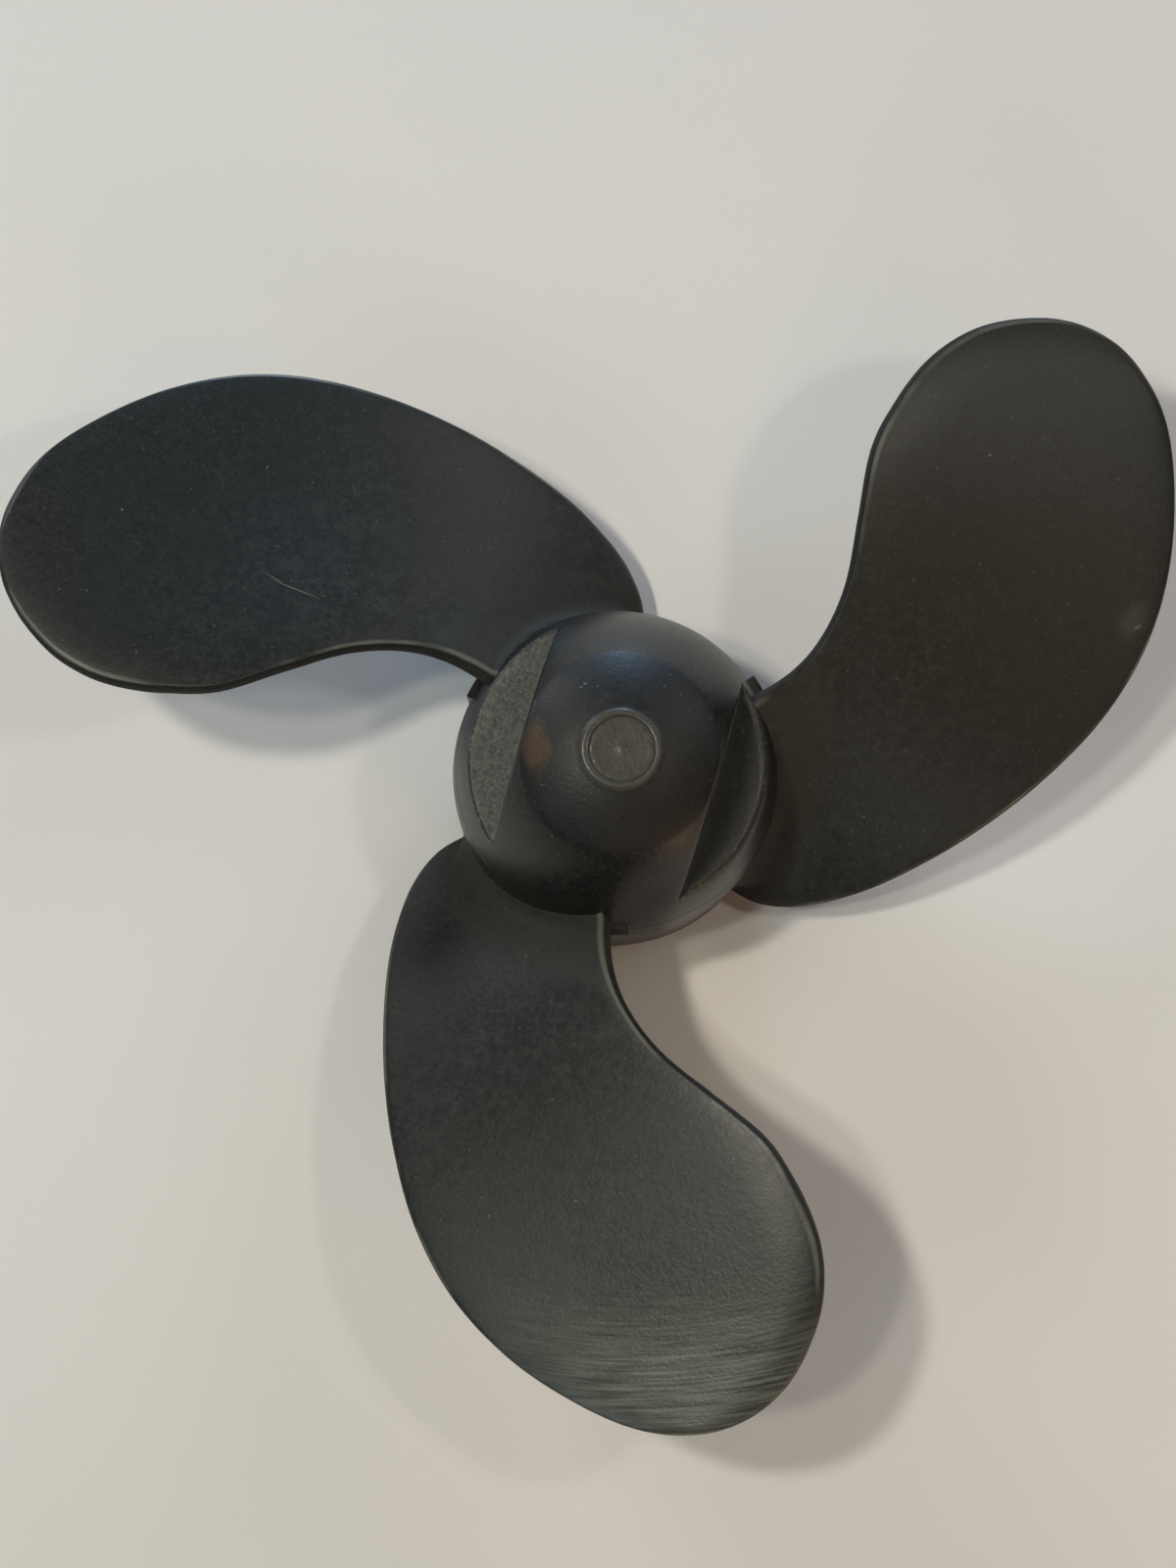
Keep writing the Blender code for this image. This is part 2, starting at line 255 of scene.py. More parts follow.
floor_mesh = bpy.data.meshes.new("studio_floor")
floor_corners = [(x * FLOOR_REACH, y * FLOOR_REACH, FLOOR_Z) for x, y in ((-1, -1), (1, -1), (1, 1), (-1, 1))]
floor_mesh.from_pydata(floor_corners, [], [(0, 1, 2, 3)])
floor = in_scene("studio_floor", floor_mesh)
floor_mesh.materials.append(matt_card())
floor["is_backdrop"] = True

world = bpy.data.worlds.new("pale_room")
world.use_nodes = True
air = world.node_tree.nodes["Background"].inputs
air["Color"].default_value = paint("e6e6ea")
air["Strength"].default_value = 0.03
bpy.context.scene.world = world
bpy.context.scene.view_settings.view_transform = "Standard"


# %% Soft lights
def soft_light(name, colour, strength, size, azimuth, elevation, distance):
    """A disk light that faces the hub. Its angles are the picture's, its size and distance metres.

    A white card at the hub that faces the light shines by the strength.
    """
    data = bpy.data.lights.new(name, "AREA")
    data.shape = "DISK"
    data.size = size
    data.energy = strength * math.pi**2 * distance**2
    data.color = paint(colour)[:3]
    light = in_scene(name, data)
    turn = azimuth * DEGREE + PHOTO_TURN
    rise = elevation * DEGREE
    away = Vector((math.cos(turn) * math.cos(rise), math.sin(turn) * math.cos(rise), math.sin(rise)))
    light.location = away * distance
    light.rotation_mode = "QUATERNION"
    light.rotation_quaternion = away.to_track_quat("Z", "Y")


LIGHTS = (
    ("main_light", "fff8e6", 0.28, 0.045, 172, 68, 0.6),
    ("second_light", "fffae4", 0.11, 0.07, 194, 70, 1.1),
    ("lower_left_light", "c0e8ff", 0.07, 0.5, 216, 41, 1.2),
    ("upper_left_light", "f6faff", 0.20, 0.42, 137, 22, 1.2),
    ("horizon_light", "b8dcff", 0.36, 0.42, 90, 8, 1.2),
    ("upper_right_light", "fff8f0", 0.11, 0.5, 41, 32, 1.2),
    ("warm_light", "fff8ea", 0.09, 0.035, 8, 64, 0.40),
    ("brown_light", "ffc890", 0.03, 0.42, 318, 58, 1.2),
    ("low_warm_light", "ffd0a0", 0.11, 0.16, -45, 12, 0.42),
    ("near_light", "fff6ea", 0.05, 0.42, 275, 38, 1.2),
)
for row in LIGHTS:
    soft_light(*row)
print(len(LIGHTS), "lights, floor at", round(FLOOR_Z / MM, 1), "mm")


# %% [markdown]
# ## Nylon
# Glass-filled nylon comes out of the mould near black and satin. The short glass fibres near the surface
# leave a fine grain and a mottled tone, and handling adds pale scuffs and scratches, most of them where
# fingers hold the blades near the hub. Nylon's IOR is 1.53. It is no metal. Its roughness is about 0.4 where
# the skin is whole, a little less on the smoother hub, and more where it is scuffed, gritty or grimy.

# %% Grain that every nylon surface shares
NYLON_IOR = 1.53
GRAINS = (
    # name, size of one grain, detail and roughness of the noise
    # flow patches of the melt
    ("patches", 14 * MM, 2.0, 0.5),
    # clumps of fibre
    ("mottle", 1.8 * MM, 5.0, 0.65),
    # the sand-like skin where glass shows through
    ("sand", 0.9 * MM, 3.0, 0.6),
    # single fibres are 0.01 mm thick, drawn as 0.5 mm grain so that it shows
    ("grain", 0.5 * MM, 3.0, 0.5),
    # dust and nicks, of which only the rare peaks show
    ("dust", 0.6 * MM, 1.0, 0.4),
)
SPECK_RANGE = (0.75, 0.82)
SPECK_STRENGTH = 0.5


def nylon_base(name):
    """A new nylon material: its tree, shader, object coordinates, and grain from coarse to fine."""
    material, tree, shader, place = new_material(name, NYLON_IOR)
    shader.inputs["Metallic"].default_value = 0.0
    known = {}
    for grain, size, detail, roughness in GRAINS:
        feeds = {"Vector": place, "Scale": 1 / size, "Detail": detail, "Roughness": roughness}
        known[grain] = add(tree, "ShaderNodeTexNoise", feeds)
    known["specks"] = add(tree, "ShaderNodeMapRange", [known["dust"], *SPECK_RANGE, 0.0, SPECK_STRENGTH])
    # a noise lies about 0.5, so these are how far it is off its middle
    follow(tree, [(f"{grain}_off", "SUBTRACT", grain, 0.5) for grain in ("mottle", "sand", "grain")], known)
    return material, tree, shader, place, known


# %% A mark at one place
RAGGEDNESS = 1.4
FULL_WITHIN = 0.35


def spot(tree, place, centre, turn, size, ragged=None):
    """1 in the middle of an ellipsoid of the given half sizes in millimetres, 0 at its skin and beyond."""
    local = add(tree, "ShaderNodeMapping", {
        "Vector": place, "Location": [c * MM for c in centre], "Rotation": (0, 0, turn * DEGREE),
        "Scale": [s * MM for s in size]}, vector_type="TEXTURE")
    far = add(tree, VECTOR_MATH, [local], operation="LENGTH").outputs["Value"]
    if ragged:
        far = add(tree, MATH, [ragged, RAGGEDNESS, far], operation="MULTIPLY_ADD")
    return add(tree, "ShaderNodeMapRange", [far, 1.0, FULL_WITHIN, 0.0, 1.0])


# %% Colours one over the other, then roughness and relief
RELIEF = 0.1 * MM


def lay_finish(tree, shader, known, ground, layers):
    """Mix each layer's colour over the ground by its mask, and link colour, roughness and relief."""
    for mask, colour in layers:
        feeds = {0: known[mask], 6: ground, 7: colour}
        ground = add(tree, "ShaderNodeMix", feeds, data_type="RGBA").outputs[2]
    bump = add(tree, "ShaderNodeBump", {"Strength": 0.5, "Distance": RELIEF, "Height": known["bump_height"]})
    tree.links.new(ground, shader.inputs["Base Color"])
    tree.links.new(known["rough"].outputs[0], shader.inputs["Roughness"])
    tree.links.new(bump.outputs[0], shader.inputs["Normal"])


# %% Finish of the blades
MARKS = (
    # centre, turn, half sizes and strength: two scratches, three nicks, and a scuff with a smudge round it
    ((-51.0, 10.3, 10.7), -4, (4.6, 0.10, 1.5), 0.6),
    ((-54.2, 10.9, 10.9), -14, (1.8, 0.09, 1.5), 0.6),
    ((-77.8, 14.0, 11.8), 0, (0.22, 0.20, 1.0), 1.0),
    ((-79.0, 8.0, 12.2), 0, (0.16, 0.14, 1.0), 1.0),
    ((38.3, 56.7, 13.9), 30, (0.30, 0.20, 1.0), 1.0),
    ((66.6, 41.1, 4.1), 50, (0.9, 0.35, 1.5), 0.5),
    ((65.6, 41.8, 4.6), 80, (4.0, 2.4, 2.5), 0.12),
)
RUBBED = ((34, -80, 12), 0, (36, 36, 36))
BRUSH_WIDTH = 0.5 * MM
BRUSH_TURNS = 8.0
BLADE_MASKS = (
    # name, what it follows, where it starts, where it is full, its full strength, how it rises
    ("near_hub", "radius", 80 * MM, 36 * MM, 1.0, "SMOOTHSTEP"),
    ("near_root", "radius", 34 * MM, 27 * MM, 1.0, "SMOOTHSTEP"),
    ("near_tip", "radius", 70 * MM, 88 * MM, 1.0, "SMOOTHSTEP"),
    # wall marks the steep side of each edge, which the finish paints darker as painted shade
    ("wall", "cap", 0.42, 0.75, 1.0, "LINEAR"),
    # line places that painted highlight inside the rim
    ("line", "cap", 0.04, 0.2, 0.55, "LINEAR"),
    ("line_patches", "patches", 0.46, 0.56, 1.0, "LINEAR"),
)


def blade_nylon():
    """Moulded glass-filled nylon, satin: near black and greenish, scuffed near the hub, rubbed at one tip,
    painted shade and highlights at the edges.
    """
    material, tree, shader, place, known = nylon_base("glass_filled_nylon_blade")
    planar = add(tree, VECTOR_MATH, [place, (1, 1, 0)], operation="MULTIPLY")
    known["radius"] = add(tree, VECTOR_MATH, [planar], operation="LENGTH").outputs["Value"]
    known["cap"] = add(tree, "ShaderNodeAttribute", attribute_name="cap").outputs["Fac"]
    for name, source, start, full, most, rise in BLADE_MASKS:
        feeds = [known[source], start, full, 0.0, most]
        known[name] = add(tree, "ShaderNodeMapRange", feeds, interpolation_type=rise)
    known["rubbed"] = spot(tree, place, *RUBBED)
    # rubbing in use runs round the shaft, so the brush marks are a noise that is long in azimuth
    axes = add(tree, "ShaderNodeSeparateXYZ", [place]).outputs
    azimuth = add(tree, MATH, [axes[1], axes[0]], operation="ARCTAN2")
    polar = add(tree, "ShaderNodeCombineXYZ", [known["radius"], azimuth, 0.0])
    along = add(tree, VECTOR_MATH, [polar, (1 / BRUSH_WIDTH, BRUSH_TURNS, 0.0)], operation="MULTIPLY")
    known["brush"] = add(
        tree, "ShaderNodeTexNoise", {"Vector": along, "Scale": 1.0, "Detail": 4.0, "Roughness": 0.6})
    # scuffs come as smears, about 3 mm across
    known["smear"] = add(tree, "ShaderNodeTexNoise", {
        "Vector": place, "Scale": 1 / (3.2 * MM), "Detail": 6.0, "Roughness": 0.72, "Distortion": 0.6})
    known["scratch"] = 0.0
    for *shape, strength in MARKS:
        known["one"] = spot(tree, place, *shape)
        follow(tree, (
            ("faint", "MULTIPLY", "one", strength),
            ("scratch", "MAXIMUM", "scratch", "faint"),
        ), known)
    follow(tree, (
        ("scuff_edge", "SUBTRACT", "smear", 0.52),
        ("scuff_some", "MULTIPLY*", "scuff_edge", 7.0),
        ("scuff", "MULTIPLY", "scuff_some", "near_hub"),
        ("brush_off", "SUBTRACT", "brush", 0.5),
        ("brush_most", "MULTIPLY", "brush_off", "rubbed"),
        ("brush_part", "MULTIPLY", "brush_most", "near_tip"),
        ("sand_share", "MULTIPLY_ADD", "near_hub", 0.9, 0.5),
        ("sand_part", "MULTIPLY", "sand_off", "sand_share"),
        ("mottle_share", "MULTIPLY_ADD", "near_hub", 1.8, 1.0),
        ("mottle_part", "MULTIPLY", "mottle_off", "mottle_share"),
        ("tone_grain", "MULTIPLY_ADD", "grain_off", 2.4, "mottle_part"),
        ("tone_sum", "MULTIPLY_ADD", "sand_part", 1.6, "tone_grain"),
        ("tone_brushed", "MULTIPLY_ADD", "brush_part", 1.2, "tone_sum"),
        ("tone_mix", "MULTIPLY_ADD", "scuff", 0.55, "tone_brushed"),
        ("tone_low", "ADD", "tone_mix", 0.30),
        ("tone", "MAXIMUM", "tone_low", 0.0),
        ("bump_share", "MULTIPLY_ADD", "near_hub", 0.5, 0.15),
        ("bump_sand", "MULTIPLY", "sand", "bump_share"),
        ("bump_grain", "MULTIPLY_ADD", "grain", 0.35, "bump_sand"),
        ("bump_height", "MULTIPLY_ADD", "brush_part", 0.3, "bump_grain"),
        ("rough_mottle", "MULTIPLY_ADD", "mottle_part", 0.06, 0.41),
        ("rough_base", "MULTIPLY_ADD", "sand_part", 0.06, "rough_mottle"),
        ("rough_tip", "MULTIPLY_ADD", "rubbed", -0.15, "rough_base"),
        ("rough_brushed", "MULTIPLY_ADD", "brush_part", 0.2, "rough_tip"),
        ("rough_scuffed", "MULTIPLY_ADD", "scuff", 0.08, "rough_brushed"),
        ("rough_root", "MULTIPLY_ADD", "near_root", 0.38, "rough_scuffed"),
        ("rough", "MULTIPLY_ADD", "wall", 0.35, "rough_root"),
        # pale streaks at the rubbed tip: brush wear, and a painted highlight where the tip shines
        ("streak_cap", "MULTIPLY_ADD*", "brush_off", 2.2, 0.5),
        ("streak_tip", "MULTIPLY", "streak_cap", "near_tip"),
        ("streak_rubbed", "MULTIPLY", "streak_tip", "rubbed"),
        ("tip_wear_and_highlight", "MULTIPLY", "streak_rubbed", 0.8),
        # a painted highlight: a thin pale line inside the rim, where the rounded shoulder would shine, only
        # where the melt's patches are high
        ("bare", "SUBTRACT", 1.0, "wall"),
        ("line_bare", "MULTIPLY", "line", "bare"),
        ("painted_highlight_line", "MULTIPLY", "line_bare", "line_patches"),
        ("wear_and_painted_highlight", "MAXIMUM", "tip_wear_and_highlight", "painted_highlight_line"),
        # grime in the corner at the root
        ("grime_some", "MULTIPLY_ADD", "mottle_off", 2.0, 0.6),
        ("grime", "MULTIPLY", "grime_some", "near_root"),
    ), known)
    lay_finish(tree, shader, known, paint("141615"), (
        ("tone", paint("30332f")),
        ("patches", paint("1b201e")),
        # painted shade: the edges' steep sides are painted near black
        ("wall", paint("0d0e0d")),
        ("grime", paint("2f2d28")),
        # wear and painted highlight: the pale line inside the rim and the streaks at the rubbed tip
        ("wear_and_painted_highlight", paint("74766a")),
        ("scratch", paint("85877f")),
        ("specks", paint("7f817a")),
    ))
    return material


# %% Finish of the hub
ZONES = ("notch_floor", "rim_chips_and_highlight", "gate_disc", "crown")
STAIN = ((-11.4, -2.6, 20.1), 20, (2.4, 4.6, 6.0))


def hub_nylon():
    """The same nylon on the hub: rougher crown with painted shade, pale gritty notch floor, chipped rims with
    a painted highlight, bright gate disc, rust stain.
    """
    material, tree, shader, place, known = nylon_base("glass_filled_nylon_hub")
    for zone in ZONES:
        known[zone] = add(tree, "ShaderNodeAttribute", attribute_name=zone).outputs["Fac"]
    # the left notch floor is gritty, with grains of 0.6 mm, and the same grit chips the deck's rim
    feeds = {"Vector": place, "Scale": 1 / (0.6 * MM), "Detail": 4.0, "Roughness": 0.75}
    known["grit"] = add(tree, "ShaderNodeTexNoise", feeds)
    # the split pin stood in the left flat, and its rust ran onto the dome beside it
    known["stain_spot"] = spot(tree, place, *STAIN, known["mottle_off"])
    follow(tree, (
        ("tone_sum", "MULTIPLY_ADD", "grain_off", 1.5, 0.30),
        ("tone_sand", "MULTIPLY_ADD", "sand_off", 1.6, "tone_sum"),
        ("tone_low", "ADD", "mottle_off", "tone_sand"),
        # painted shade: the crown inside the crease is painted darker, as its flatter top catches less light
        ("tone_crown_painted_shade", "MULTIPLY_ADD", "crown", -0.35, "tone_low"),
        ("tone", "MAXIMUM", "tone_crown_painted_shade", 0.0),
        ("grit_off", "SUBTRACT", "grit", 0.5),
        ("floor_tone", "MULTIPLY_ADD", "grit_off", 3.4, 0.5),
        ("chip_raw", "SUBTRACT", "grit", 0.56),
        ("chip_cap", "MULTIPLY*", "chip_raw", 7.0),
        ("chip_and_highlight", "MULTIPLY", "chip_cap", "rim_chips_and_highlight"),
        ("stain", "MULTIPLY", "stain_spot", 0.62),
        ("floor_bump", "MULTIPLY", "grit", "notch_floor"),
        ("bump_sum", "MULTIPLY_ADD", "floor_bump", 1.6, "grain"),
        ("bump_height", "MULTIPLY_ADD", "sand", 0.6, "bump_sum"),
        ("rough_mottle", "MULTIPLY_ADD", "mottle_off", 0.2, 0.36),
        ("rough_base", "MULTIPLY_ADD", "sand_off", 0.08, "rough_mottle"),
        ("rough_floor", "MULTIPLY_ADD", "notch_floor", 0.15, "rough_base"),
        ("rough_crown", "MULTIPLY_ADD", "crown", 0.14, "rough_floor"),
        ("rough", "MULTIPLY_ADD", "gate_disc", -0.06, "rough_crown"),
    ), known)
    feeds = {0: known["floor_tone"], 6: paint("2b2c29"), 7: paint("6b6c66")}
    gritty = add(tree, "ShaderNodeMix", feeds, data_type="RGBA")
    lay_finish(tree, shader, known, paint("0f0f0e"), (
        ("tone", paint("282826")),
        ("notch_floor", gritty.outputs[2]),
        ("gate_disc", paint("484843")),
        # chips, and on the right rim a painted highlight
        ("chip_and_highlight", paint("83847c")),
        ("stain", paint("5d4630")),
        ("specks", paint("7f817a")),
    ))
    return material


hub_finish = hub_nylon()
blade_finish = blade_nylon()
print("finishes:", hub_finish.name, "and", blade_finish.name)


# %% [markdown]
# ## Hub
# The hub is a turned shape that two flats cut into, so it could be a turned profile with boxes cut out of it.
# Its corners are rounded in the mould, though, and a cut leaves them sharp. So the hub is one grid round the
# shaft: at each azimuth a column of points runs from the gate disc over the dome, down the flat, across the
# notch floor, round its rim, down the barrel, and back up inside to the blind end of the bore. Where there is
# no notch, the same points lie on the ogive.

# %% The outside of the hub as heights and radii
def ogive_height(radius):
    inward = BARREL_RADIUS - radius
    return BARREL_HEIGHT + math.sqrt(OGIVE_RADIUS**2 - (OGIVE_RADIUS - inward)**2)


def ogive_radius(height):
    above = max(0.0, height - BARREL_HEIGHT)
    return BARREL_RADIUS - OGIVE_RADIUS + math.sqrt(OGIVE_RADIUS**2 - above**2)


def steps(start, end, count):
    """Values after start, up to and with end."""
    return [start + (end - start) * i / count for i in range(1, count + 1)]


def along_ogive(start, end, count, inset=0):
    """Points after one height, up to and with another, on the ogive or set in from it."""
    return [(ogive_radius(h) - inset, h) for h in steps(start, end, count)]


def dome_height(radius):
    """Height of the crown inside the crease, and of the ogive outside it."""
    if radius > CREASE_RADIUS:
        return ogive_height(radius)
    drop = math.sqrt(CROWN_RADIUS**2 - radius**2) - math.sqrt(CROWN_RADIUS**2 - CREASE_RADIUS**2)
    return ogive_height(CREASE_RADIUS) + drop


RIM_RADIUS = ogive_radius(DECK_HEIGHT)
NOTCH_HALF_ANGLE = math.acos(FLAT_DISTANCE / RIM_RADIUS)
print("dome", round(dome_height(0) / MM, 2), "mm high")
print("notch", round(2 * NOTCH_HALF_ANGLE / DEGREE, 1), "degrees wide")


# %% Lines and rounded corners of a column
def line(start, end, count):
    """Points after start, up to and with end."""
    return list(zip(*(steps(s, e, count) for s, e in zip(start, end))))


def corner(start, knee, end, count):
    """Points of a rounded corner after start, up to and with end."""
    points = []
    for t in steps(0, 1, count):
        shares = ((1 - t)**2, 2 * t * (1 - t), t**2)
        points.append(tuple(sum(a * b for a, b in zip(shares, row)) for row in zip(start, knee, end)))
    return points


# %% Gate disc and ring at the apex
RING_TOP = dome_height(RING_RADIUS) + RING_HEIGHT
DISC_FLOOR = RING_TOP - DISC_SINK
GATE_MARK = 0.05 * MM
# radius and height above the disc's floor, in millimetres: gate mark, disc, groove, and the ring's inside
DISC_ROWS = (
    (0.25, 0.05), (0.5, 0.03), (0.75, -0.01), (1.4, -0.03), (2.2, -0.03),
    (3.0, -0.02), (3.7, 0.0), (4.2, 0.02), (4.38, 0.0), (4.46, -0.12),
    (4.56, -0.12), (4.62, 0.12), (4.70, 0.24), (4.82, 0.28), (5.0, 0.295),
)
# the same above the ring's top: the ring's rounded outside
RING_ROWS = ((5.2, -0.01), (5.36, -0.04), (5.48, -0.12), (5.56, -0.26), (5.62, -0.42))


def apex_points():
    """From the gate mark in the middle, over the disc and its groove, to the foot of the ring."""
    foot = RING_RADIUS + 0.25 * MM
    points = [(r * MM, DISC_FLOOR + h * MM) for r, h in DISC_ROWS]
    points += [(r * MM, RING_TOP + h * MM) for r, h in RING_ROWS]
    return points + [(foot, dome_height(foot))]


# %% One column of the hub
CORNER = 0.45 * MM
FLOOR_FILLET = 0.35 * MM
SHARP_RIM = 0.4 * MM
SOFT_RIM = 1.1 * MM
CROWN_ROWS, OGIVE_ROWS, CORNER_ROWS, FLAT_ROWS, FLOOR_ROWS = 14, 10, 5, 4, 9
NOTCH_ROWS = 3 * CORNER_ROWS + FLAT_ROWS + FLOOR_ROWS
RELAX = 9 * DEGREE
TIP_SPREAD = 0.05
FULL_SPREAD = 1.5


def flat_at(azimuth):
    """How far a column stands off the nearer flat's middle, and the flat's radius there."""
    off = abs(math.atan2(math.sin(2 * azimuth), math.cos(2 * azimuth))) / 2
    return off, FLAT_DISTANCE / max(0.05, math.cos(off))


def spread_at(off):
    """Half the height that the notch's rows take outside the notch, from next to none at its tip."""
    share = min(1, (off - NOTCH_HALF_ANGLE) / RELAX)
    return (TIP_SPREAD + FULL_SPREAD * share**2 * (3 - 2 * share)) * MM


def notch_points(azimuth, start):
    """Down the flat, across the floor and round the rim, or along the ogive where there is no notch."""
    off, wall = flat_at(azimuth)
    width = RIM_RADIUS - wall
    if width <= 0:
        return along_ogive(start[1], DECK_HEIGHT - spread_at(off), NOTCH_ROWS)
    top = dome_height(wall)
    drop = top - DECK_HEIGHT
    round_top = min(CORNER, 0.4 * drop)
    fillet = min(FLOOR_FILLET, 0.3 * width, 0.4 * drop)
    rim = min(SOFT_RIM if math.cos(azimuth) > 0 else SHARP_RIM, 0.45 * width)
    points = corner(start, (wall, top), (wall, top - round_top), CORNER_ROWS)
    points += line(points[-1], (wall, DECK_HEIGHT + fillet), FLAT_ROWS)
    points += corner(points[-1], (wall, DECK_HEIGHT), (wall + fillet, DECK_HEIGHT), CORNER_ROWS)
    points += line(points[-1], (RIM_RADIUS - rim, DECK_HEIGHT), FLOOR_ROWS)
    below = DECK_HEIGHT - rim
    points += corner(points[-1], (RIM_RADIUS, DECK_HEIGHT), (ogive_radius(below), below), CORNER_ROWS)
    return points


def dome_end(azimuth):
    """Where the dome's own rows end: short of the flat's top corner, or above the deck's level."""
    off, wall = flat_at(azimuth)
    if wall >= RIM_RADIUS:
        return ogive_radius(DECK_HEIGHT + spread_at(off))
    drop = dome_height(wall) - DECK_HEIGHT
    return wall - 0.7 * min(CORNER, 0.4 * drop) - 0.02 * MM


# %% Barrel, inside and bore
PARTING_HEIGHT = 27 * MM
# height past the parting line and how far the flash stands out, in millimetres
FLASH_ROWS = ((0.16, 0.01), (0.06, 0.05), (-0.06, 0.05), (-0.16, 0.01), (-0.3, 0.0))
FACE_ROUND = 0.6 * MM
INNER_ROUND = 0.4 * MM
ROOF_FILLET = 1.2 * MM
BOSS_FILLET = 1.0 * MM
BOSS_CHAMFER = 0.8 * MM
DRILL_POINT = 0.6 * MM


def lower_points(start):
    """Down the ogive past the mould's parting line, then the barrel, the face, the inside and the bore."""
    points = along_ogive(start[1], PARTING_HEIGHT + 0.3 * MM, 8)
    for up, out in FLASH_ROWS:
        height = PARTING_HEIGHT + up * MM
        points.append((ogive_radius(height) + out * MM, height))
    points += along_ogive(points[-1][1], BARREL_HEIGHT, 7)
    points += line(points[-1], (BARREL_RADIUS, FACE_ROUND), 8)
    points += corner(points[-1], (BARREL_RADIUS, 0), (BARREL_RADIUS - FACE_ROUND, 0), 4)
    inner = BARREL_RADIUS - WALL_THICKNESS
    points += line(points[-1], (inner + INNER_ROUND, 0), 3)
    points += corner(points[-1], (inner, 0), (inner, INNER_ROUND), 3)
    points += line(points[-1], (inner, BARREL_HEIGHT), 8)
    under = DECK_HEIGHT - DECK_THICKNESS
    points += along_ogive(BARREL_HEIGHT, under - ROOF_FILLET, 8, WALL_THICKNESS)
    knee = (ogive_radius(under) - WALL_THICKNESS, under)
    points += corner(points[-1], knee, (knee[0] - ROOF_FILLET, under), 5)
    points += line(points[-1], (BOSS_RADIUS + BOSS_FILLET, under), 5)
    points += corner(points[-1], (BOSS_RADIUS, under), (BOSS_RADIUS, under - BOSS_FILLET), 4)
    for end, count in (
        ((BOSS_RADIUS, BOSS_START + BOSS_CHAMFER), 10),
        ((BOSS_RADIUS - BOSS_CHAMFER, BOSS_START), 2),
        ((BORE / 2 + BOSS_CHAMFER, BOSS_START), 2),
        ((BORE / 2, BOSS_START + BOSS_CHAMFER), 2),
        ((BORE / 2, BORE_END), 14),
        ((DRILL_POINT, BORE_END + (BORE / 2 - DRILL_POINT) / 2), 4),
    ):
        points += line(points[-1], end, count)
    return points


# %% The grid of the hub
COLUMNS = 320
DISC_SHIFT = 0.2 * MM
DISC_REACH = 5.0 * MM
SHIFT_FADE = 0.5 * MM
TIP_MARGIN = 0.004


def hub_azimuths():
    """Even azimuths in four spans between the tips of the notches, so that a column stands at each tip."""
    ends = [-NOTCH_HALF_ANGLE, NOTCH_HALF_ANGLE, math.pi - NOTCH_HALF_ANGLE, math.pi + NOTCH_HALF_ANGLE]
    ends.append(math.tau - NOTCH_HALF_ANGLE)
    found = []
    for start, end in zip(ends, ends[1:]):
        count = round(COLUMNS * (end - start) / math.tau)
        found += [start + (end - start) * i / count for i in range(count)]
    return found


def hub_rows(azimuth):
    """All points of one column and, beside them, how much each belongs to each zone."""
    apex = apex_points()
    disc_end, crown_end = len(apex) - 1, len(apex) + CROWN_ROWS
    end = dome_end(azimuth)
    crease = min(CREASE_RADIUS, end - 0.06 * MM)
    radii = steps(apex[-1][0], crease, CROWN_ROWS) + steps(crease, end, OGIVE_ROWS)
    points = apex + [(r, dome_height(r)) for r in radii]
    first = len(points)
    points += notch_points(azimuth, points[-1])
    notch_end = len(points)
    points += lower_points(points[-1])
    in_notch = 1.0 if abs(math.cos(azimuth)) > math.cos(NOTCH_HALF_ANGLE) + TIP_MARGIN else 0.0
    floor_start = first + 2 * CORNER_ROWS + FLAT_ROWS - 2
    rim_start = notch_end - CORNER_ROWS
    on_left = math.cos(azimuth) < 0
    zones = np.zeros((len(points), len(ZONES)))
    zones[floor_start:rim_start, 0] = in_notch * (0.8 if on_left else 0.02)
    # both rims take some of the floor's grit colour, and chips: on the left these are wear, on the right they
    # stand as a painted highlight along the rounded rim
    zones[rim_start:notch_end, 0] = in_notch * 0.2
    zones[rim_start:notch_end, 1] = in_notch * (1.0 if on_left else 0.5)
    zones[:disc_end, 2] = 1.0
    zones[disc_end:crown_end, 3] = 1.0
    return points, zones


# %% Build the hub's mesh
def mark_points(mesh, names, values):
    """Store each column of the values as an attribute of the mesh's points."""
    for name, column in zip(names, np.array(values, np.float32).T):
        layer = mesh.attributes.new(name, "FLOAT", "POINT")
        layer.data.foreach_set("value", column.copy())


